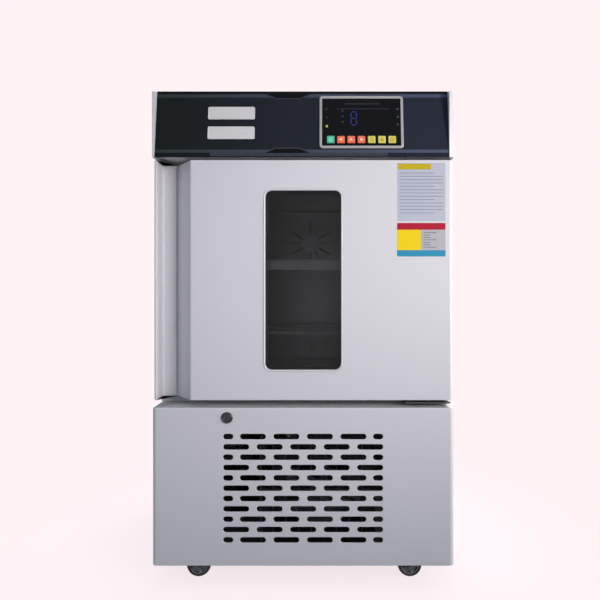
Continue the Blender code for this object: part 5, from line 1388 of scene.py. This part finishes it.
def inlet_socket(at):
    """Round-cornered loops from the body behind the sheet over the lip and down into the recess."""
    low, high = LOW["power_inlet"], HIGH["power_inlet"]
    outside, inside = -high.y, -low.y
    body, lip, recess = (28 * MM, 48 * MM), (high.x - low.x, high.z - low.z), (17 * MM, 25 * MM)
    lip_round, lip_edge, deep = 4 * MM, 1 * MM, 16 * MM

    def loop(outline, inset, radius, y):
        return standing(round_rect(outline[0] - 2 * inset, outline[1] - 2 * inset, radius - inset, at), y)

    rows = [loop(body, 0, 2 * MM, inside), loop(body, 0, 2 * MM, -BACK),
            loop(lip, 0, lip_round, -BACK - 0.1 * MM)]
    rows += [loop(lip, inset, lip_round, outside + drop) for inset, drop in quarter(lip_edge)]
    rows += [loop(recess, 0, 2 * MM, outside), loop(recess, 0, 2 * MM, outside + deep)]
    return surface(rows, around=True, caps=(0, -1))


def screw_head(radius, height):
    """Pan head facing -Y: a dome over a disc, sunk where a cross of two bars passes near its middle."""
    share = np.array([1.0, 1.0, 0.9, 0.75, 0.58, 0.5, 0.4, 0.25, 0.12])
    angle = np.linspace(0, 2 * np.pi, 24, endpoint=False)
    r, a = np.meshgrid(share * radius, angle, indexing="ij")
    x, z = r * np.cos(a), r * np.sin(a)
    dome = height * np.sqrt(np.clip(1.15 - (r / radius) ** 2, 0, 1))
    bar = radius * 0.16
    crossed = (np.minimum(np.abs(x), np.abs(z)) < bar) & (r < radius * 0.55)
    y = -np.where(crossed, dome - 0.6 * height, dome)
    y[0] = 0
    return surface(np.stack([x, y, z], -1), around=True, caps=(0, -1))


class INCUBATOR_OT_hidden_parts(Maker):
    """Smooth finishes for the parts that keep their own shape"""

    bl_idname = "incubator.hidden_parts"
    bl_label = "Other parts"

    def execute(self, context):
        """Each part with its finish, its material slot and the softness of its edges."""
        fine, edge, soft = 0.3 * MM, 0.5 * MM, 1 * MM
        for name, finish, slot, bevel in (
                ("chamber_shell", powder_coat(), "white_paint", soft),
                ("front_frame", grey_frame(), "grey_plastic", edge),
                # painted shade: the base plate's zinc is drawn dark for the shade inside the machine bay
                ("base_plate", shade_darkened_zinc(), "zinc", edge),
                ("compressor", black_enamel(), "black_plastic", soft),
                # painted shade: the condenser's fins are drawn dark grey for the shade behind the slots
                ("condenser", shade_darkened_fins(), "aluminium", 0),
                ("fan_shroud", black_abs(), "black_plastic", edge),
                ("condenser_fan", grey_abs(), "grey_plastic", edge),
                ("liner", stainless(), "stainless", 0),
                ("insulation", foam(), "foam", 0),
                ("duct_cover", stainless(), "stainless", fine),
                ("circulation_fan", aluminium(), "aluminium", fine),
                ("fan_motor", zinc(), "zinc", edge),
                ("evaporator", aluminium(), "aluminium", 0),
                ("shelf_support_left", stainless(), "stainless", fine),
                ("shelf_support_right", stainless(), "stainless", fine),
                ("sensor_probe", drawn_wire(), "stainless", edge),
                # painted shade: the hinges' zinc is drawn dark for the shade round the door's ends
                ("hinge_upper", shade_darkened_zinc(), "zinc", edge),
                ("hinge_lower", shade_darkened_zinc(), "zinc", edge),
                ("bush_upper", grey_abs(), "grey_plastic", 0.2 * MM),
                ("bush_lower", grey_abs(), "grey_plastic", 0.2 * MM),
                ("controller_case", grey_abs(), "grey_plastic", edge)):
            dress(name, finish, slot, bevel)
        return {"FINISHED"}


class INCUBATOR_OT_stage(Maker):
    """Floor, backdrop, lamps and the camera"""

    bl_idname = "incubator.stage"
    bl_label = "Stage"

    def execute(self, context):
        """A floor that curves up to a backdrop by a quarter circle, with the lamps and the camera."""
        scene = context.scene
        scene.view_settings.view_transform = "Standard"
        turn = np.linspace(0, np.pi / 2, 17)
        near, far, bend, side, wall = -6.0, 2.4, 1.2, 8.0, 5.0
        ys = np.concatenate([[near], far + bend * np.sin(turn), [far + bend]])
        zs = np.concatenate([[0.0], bend * (1 - np.cos(turn)), [wall]])
        xs = np.linspace(-side, side, 9)
        grid = np.stack(np.broadcast_arrays(xs[None, :], ys[:, None], zs[:, None]), -1)
        points, quads, _ = surface(grid)
        mesh = bpy.data.meshes.new("floor")
        mesh.from_pydata(points.tolist(), [], quads.tolist())
        mesh.shade_smooth()
        mesh.materials.append(paper())
        floor = bpy.data.objects.new("floor", mesh)
        scene.collection.objects.link(floor)
        light_world(scene)
        for name, lamp in LAMPS.items():
            add_lamp(name, *lamp)
        add_camera(scene)
        return {"FINISHED"}


# Each lamp: its place, the point that it faces, its size in metres, its watts and its spread in degrees
LAMPS = {
    "key_lamp": ((1.45, -1.8, 1.05), (0.08, -0.28, 0.71), 0.6, 2.8, 47),
    "fill_lamp": ((-1.7, -1.7, 0.55), (-0.25, -0.28, 0.8), 1.0, 0.45, 50),
    "side_lamp": ((2.2, -0.65, 0.5), (0.3, -0.2, 0.4), 0.8, 3.2, 64),
    "back_lamp": ((1.2, 2.2, 1.2), (0.0, 0.29, 0.55), 0.8, 3, 50),
    "top_lamp": ((0.0, 0.5, 2.6), (0.0, 0.1, 0.9), 0.8, 5, 80),
}


def add_lamp(name, place, target, size, watts, spread):
    """A square soft lamp that faces a target; the fill lamp isn't mirrored, so left edges stay dark."""
    lamp = bpy.data.lights.new(name, "AREA")
    lamp.size = size
    lamp.energy = watts
    lamp.spread = math.radians(spread)
    lamp.color = (1.0, 0.95, 0.92)
    obj = bpy.data.objects.new(name, lamp)
    obj.location = place
    direction = Matrix.Translation(target).translation - obj.location
    obj.rotation_euler = direction.to_track_quat("-Z", "Y").to_euler()
    obj.visible_glossy = name != "fill_lamp"
    bpy.context.scene.collection.objects.link(obj)


def seen_directly(tree, place, edge):
    """One for what the camera sees, straight, mirrored or through glass, and nought for light on things.

    Left of the edge, an x of the place, nothing is mirrored, so left edges stay dark as in the photo.
    """
    path = node(tree, "ShaderNodeLightPath").outputs
    across = node(tree, "ShaderNodeSeparateXYZ", {0: place}).outputs["X"]
    right = node(tree, "ShaderNodeMath", {0: across, 1: edge}, operation="GREATER_THAN").outputs[0]
    glossy = node(tree, "ShaderNodeMath", {0: path["Is Glossy Ray"], 1: right},
                  operation="MULTIPLY").outputs[0]
    mirrored = node(tree, "ShaderNodeMath", {0: path["Is Camera Ray"], 1: glossy},
                    operation="MAXIMUM").outputs[0]
    return node(tree, "ShaderNodeMath", {0: mirrored, 1: path["Is Transmission Ray"]},
                operation="MAXIMUM").outputs[0]


@cache
def paper():
    """Seamless background paper: even and pale where it is seen, grey in the light that it throws back.

    Its fibres are drawn 4 mm coarse, so that they show at the camera's distance. Within 0.75 m of the origin
    the lamps' light and shadow show on it, and farther out it is even.
    """
    mat, tree, _ = blank("seamless_paper")
    tree.nodes.clear()
    pale = tuple(colours().backdrop) + (1.0,)
    place = node(tree, "ShaderNodeTexCoord").outputs["Object"]
    fibre = node(tree, "ShaderNodeTexNoise", {"Vector": place, "Scale": 1 / (4 * MM),
                                              "Detail": 2.0}).outputs["Fac"]
    tone = node(tree, "ShaderNodeMix", {0: fibre, 6: shade_of(colours().backdrop, 0.97), 7: pale},
                data_type="RGBA").outputs[2]
    dim = node(tree, "ShaderNodeMix", {0: 0.7, 6: tone, 7: (0, 0, 0, 1)}, data_type="RGBA").outputs[2]
    lit = node(tree, "ShaderNodeBsdfDiffuse", {"Color": dim}).outputs[0]
    base = node(tree, "ShaderNodeEmission", {"Color": pale, "Strength": 0.83}).outputs[0]
    near = node(tree, "ShaderNodeAddShader", {0: lit, 1: base}).outputs[0]
    even = node(tree, "ShaderNodeEmission", {"Color": pale, "Strength": 1.0}).outputs[0]
    away = node(tree, "ShaderNodeVectorMath", {0: place}, operation="LENGTH").outputs["Value"]
    fade = node(tree, "ShaderNodeMapRange", {"Value": away, "From Min": 0.3, "From Max": 0.75},
                interpolation_type="SMOOTHSTEP").outputs[0]
    seen = node(tree, "ShaderNodeMixShader", {0: fade, 1: near, 2: even}).outputs[0]
    thrown = node(tree, "ShaderNodeBsdfDiffuse", {"Color": linear("#70747c") + (1.0,)}).outputs[0]
    direct = seen_directly(tree, place, -1.2)
    mixed = node(tree, "ShaderNodeMixShader", {0: direct, 1: thrown, 2: seen}).outputs[0]
    node(tree, "ShaderNodeOutputMaterial", {"Surface": mixed})
    return mat


def light_world(scene):
    """A pale room: background colour where it is seen, and a cool even light on the parts."""
    world = bpy.data.worlds.new("room")
    scene.world = world
    world.use_nodes = True
    tree = world.node_tree
    tree.nodes.clear()
    seen = node(tree, "ShaderNodeBackground", {"Color": tuple(colours().backdrop) + (1.0,), "Strength": 1.0})
    even = node(tree, "ShaderNodeBackground", {"Color": linear("#dcecff") + (1.0,), "Strength": 0.46})
    direct = seen_directly(tree, node(tree, "ShaderNodeTexCoord").outputs["Generated"], -0.4)
    mixed = node(tree, "ShaderNodeMixShader", {0: direct, 1: even.outputs[0], 2: seen.outputs[0]})
    node(tree, "ShaderNodeOutputWorld", {"Surface": mixed.outputs[0]})


def add_camera(scene):
    """The photograph's camera: level, just right of the middle, its vanishing point right of the frame's."""
    right, away, height = 0.051, 1.1, 0.584
    camera = bpy.data.cameras.new("camera")
    camera.lens = 33.27
    camera.shift_x = -0.048
    camera.shift_y = -0.0083
    camera.clip_start = 0.05
    obj = bpy.data.objects.new("camera", camera)
    obj.location = (right, FRONT - away, height)
    obj.rotation_euler = (math.pi / 2, 0, 0)
    scene.collection.objects.link(obj)
    scene.camera = obj


MAKERS = (INCUBATOR_OT_machine_cover, INCUBATOR_OT_door, INCUBATOR_OT_window, INCUBATOR_OT_door_back,
          INCUBATOR_OT_head, INCUBATOR_OT_fascia, INCUBATOR_OT_display, INCUBATOR_OT_keys,
          INCUBATOR_OT_plates, INCUBATOR_OT_cards, INCUBATOR_OT_lock, INCUBATOR_OT_casters,
          INCUBATOR_OT_shelves, INCUBATOR_OT_back, INCUBATOR_OT_hidden_parts, INCUBATOR_OT_stage)


class INCUBATOR_PT_panel(bpy.types.Panel):
    """Sidebar panel with the sizes, the colours and a button for each operator"""

    bl_idname = "INCUBATOR_PT_panel"
    bl_label = "Incubator"
    bl_space_type = "VIEW_3D"
    bl_region_type = "UI"
    bl_category = "Incubator"

    def draw(self, context):
        """List the operators, then the sizes and the colours."""
        for maker in MAKERS:
            self.layout.operator(maker.bl_idname)
        for group in (context.scene.incubator_sizes, context.scene.incubator_colours):
            for name in group.__annotations__:
                self.layout.prop(group, name)


CLASSES = (IncubatorSizes, IncubatorColours, *MAKERS, INCUBATOR_PT_panel)


def register():
    """Register the classes and hang the settings on the scene."""
    for cls in CLASSES:
        bpy.utils.register_class(cls)
    bpy.types.Scene.incubator_sizes = PointerProperty(type=IncubatorSizes)
    bpy.types.Scene.incubator_colours = PointerProperty(type=IncubatorColours)


def unregister():
    """Undo what register did."""
    del bpy.types.Scene.incubator_sizes
    del bpy.types.Scene.incubator_colours
    for cls in reversed(CLASSES):
        bpy.utils.unregister_class(cls)


def main():
    """Register the add-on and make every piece."""
    register()
    for maker in MAKERS:
        group, name = maker.bl_idname.split(".")
        getattr(getattr(bpy.ops, group), name)()


if __name__ == "__main__":
    main()
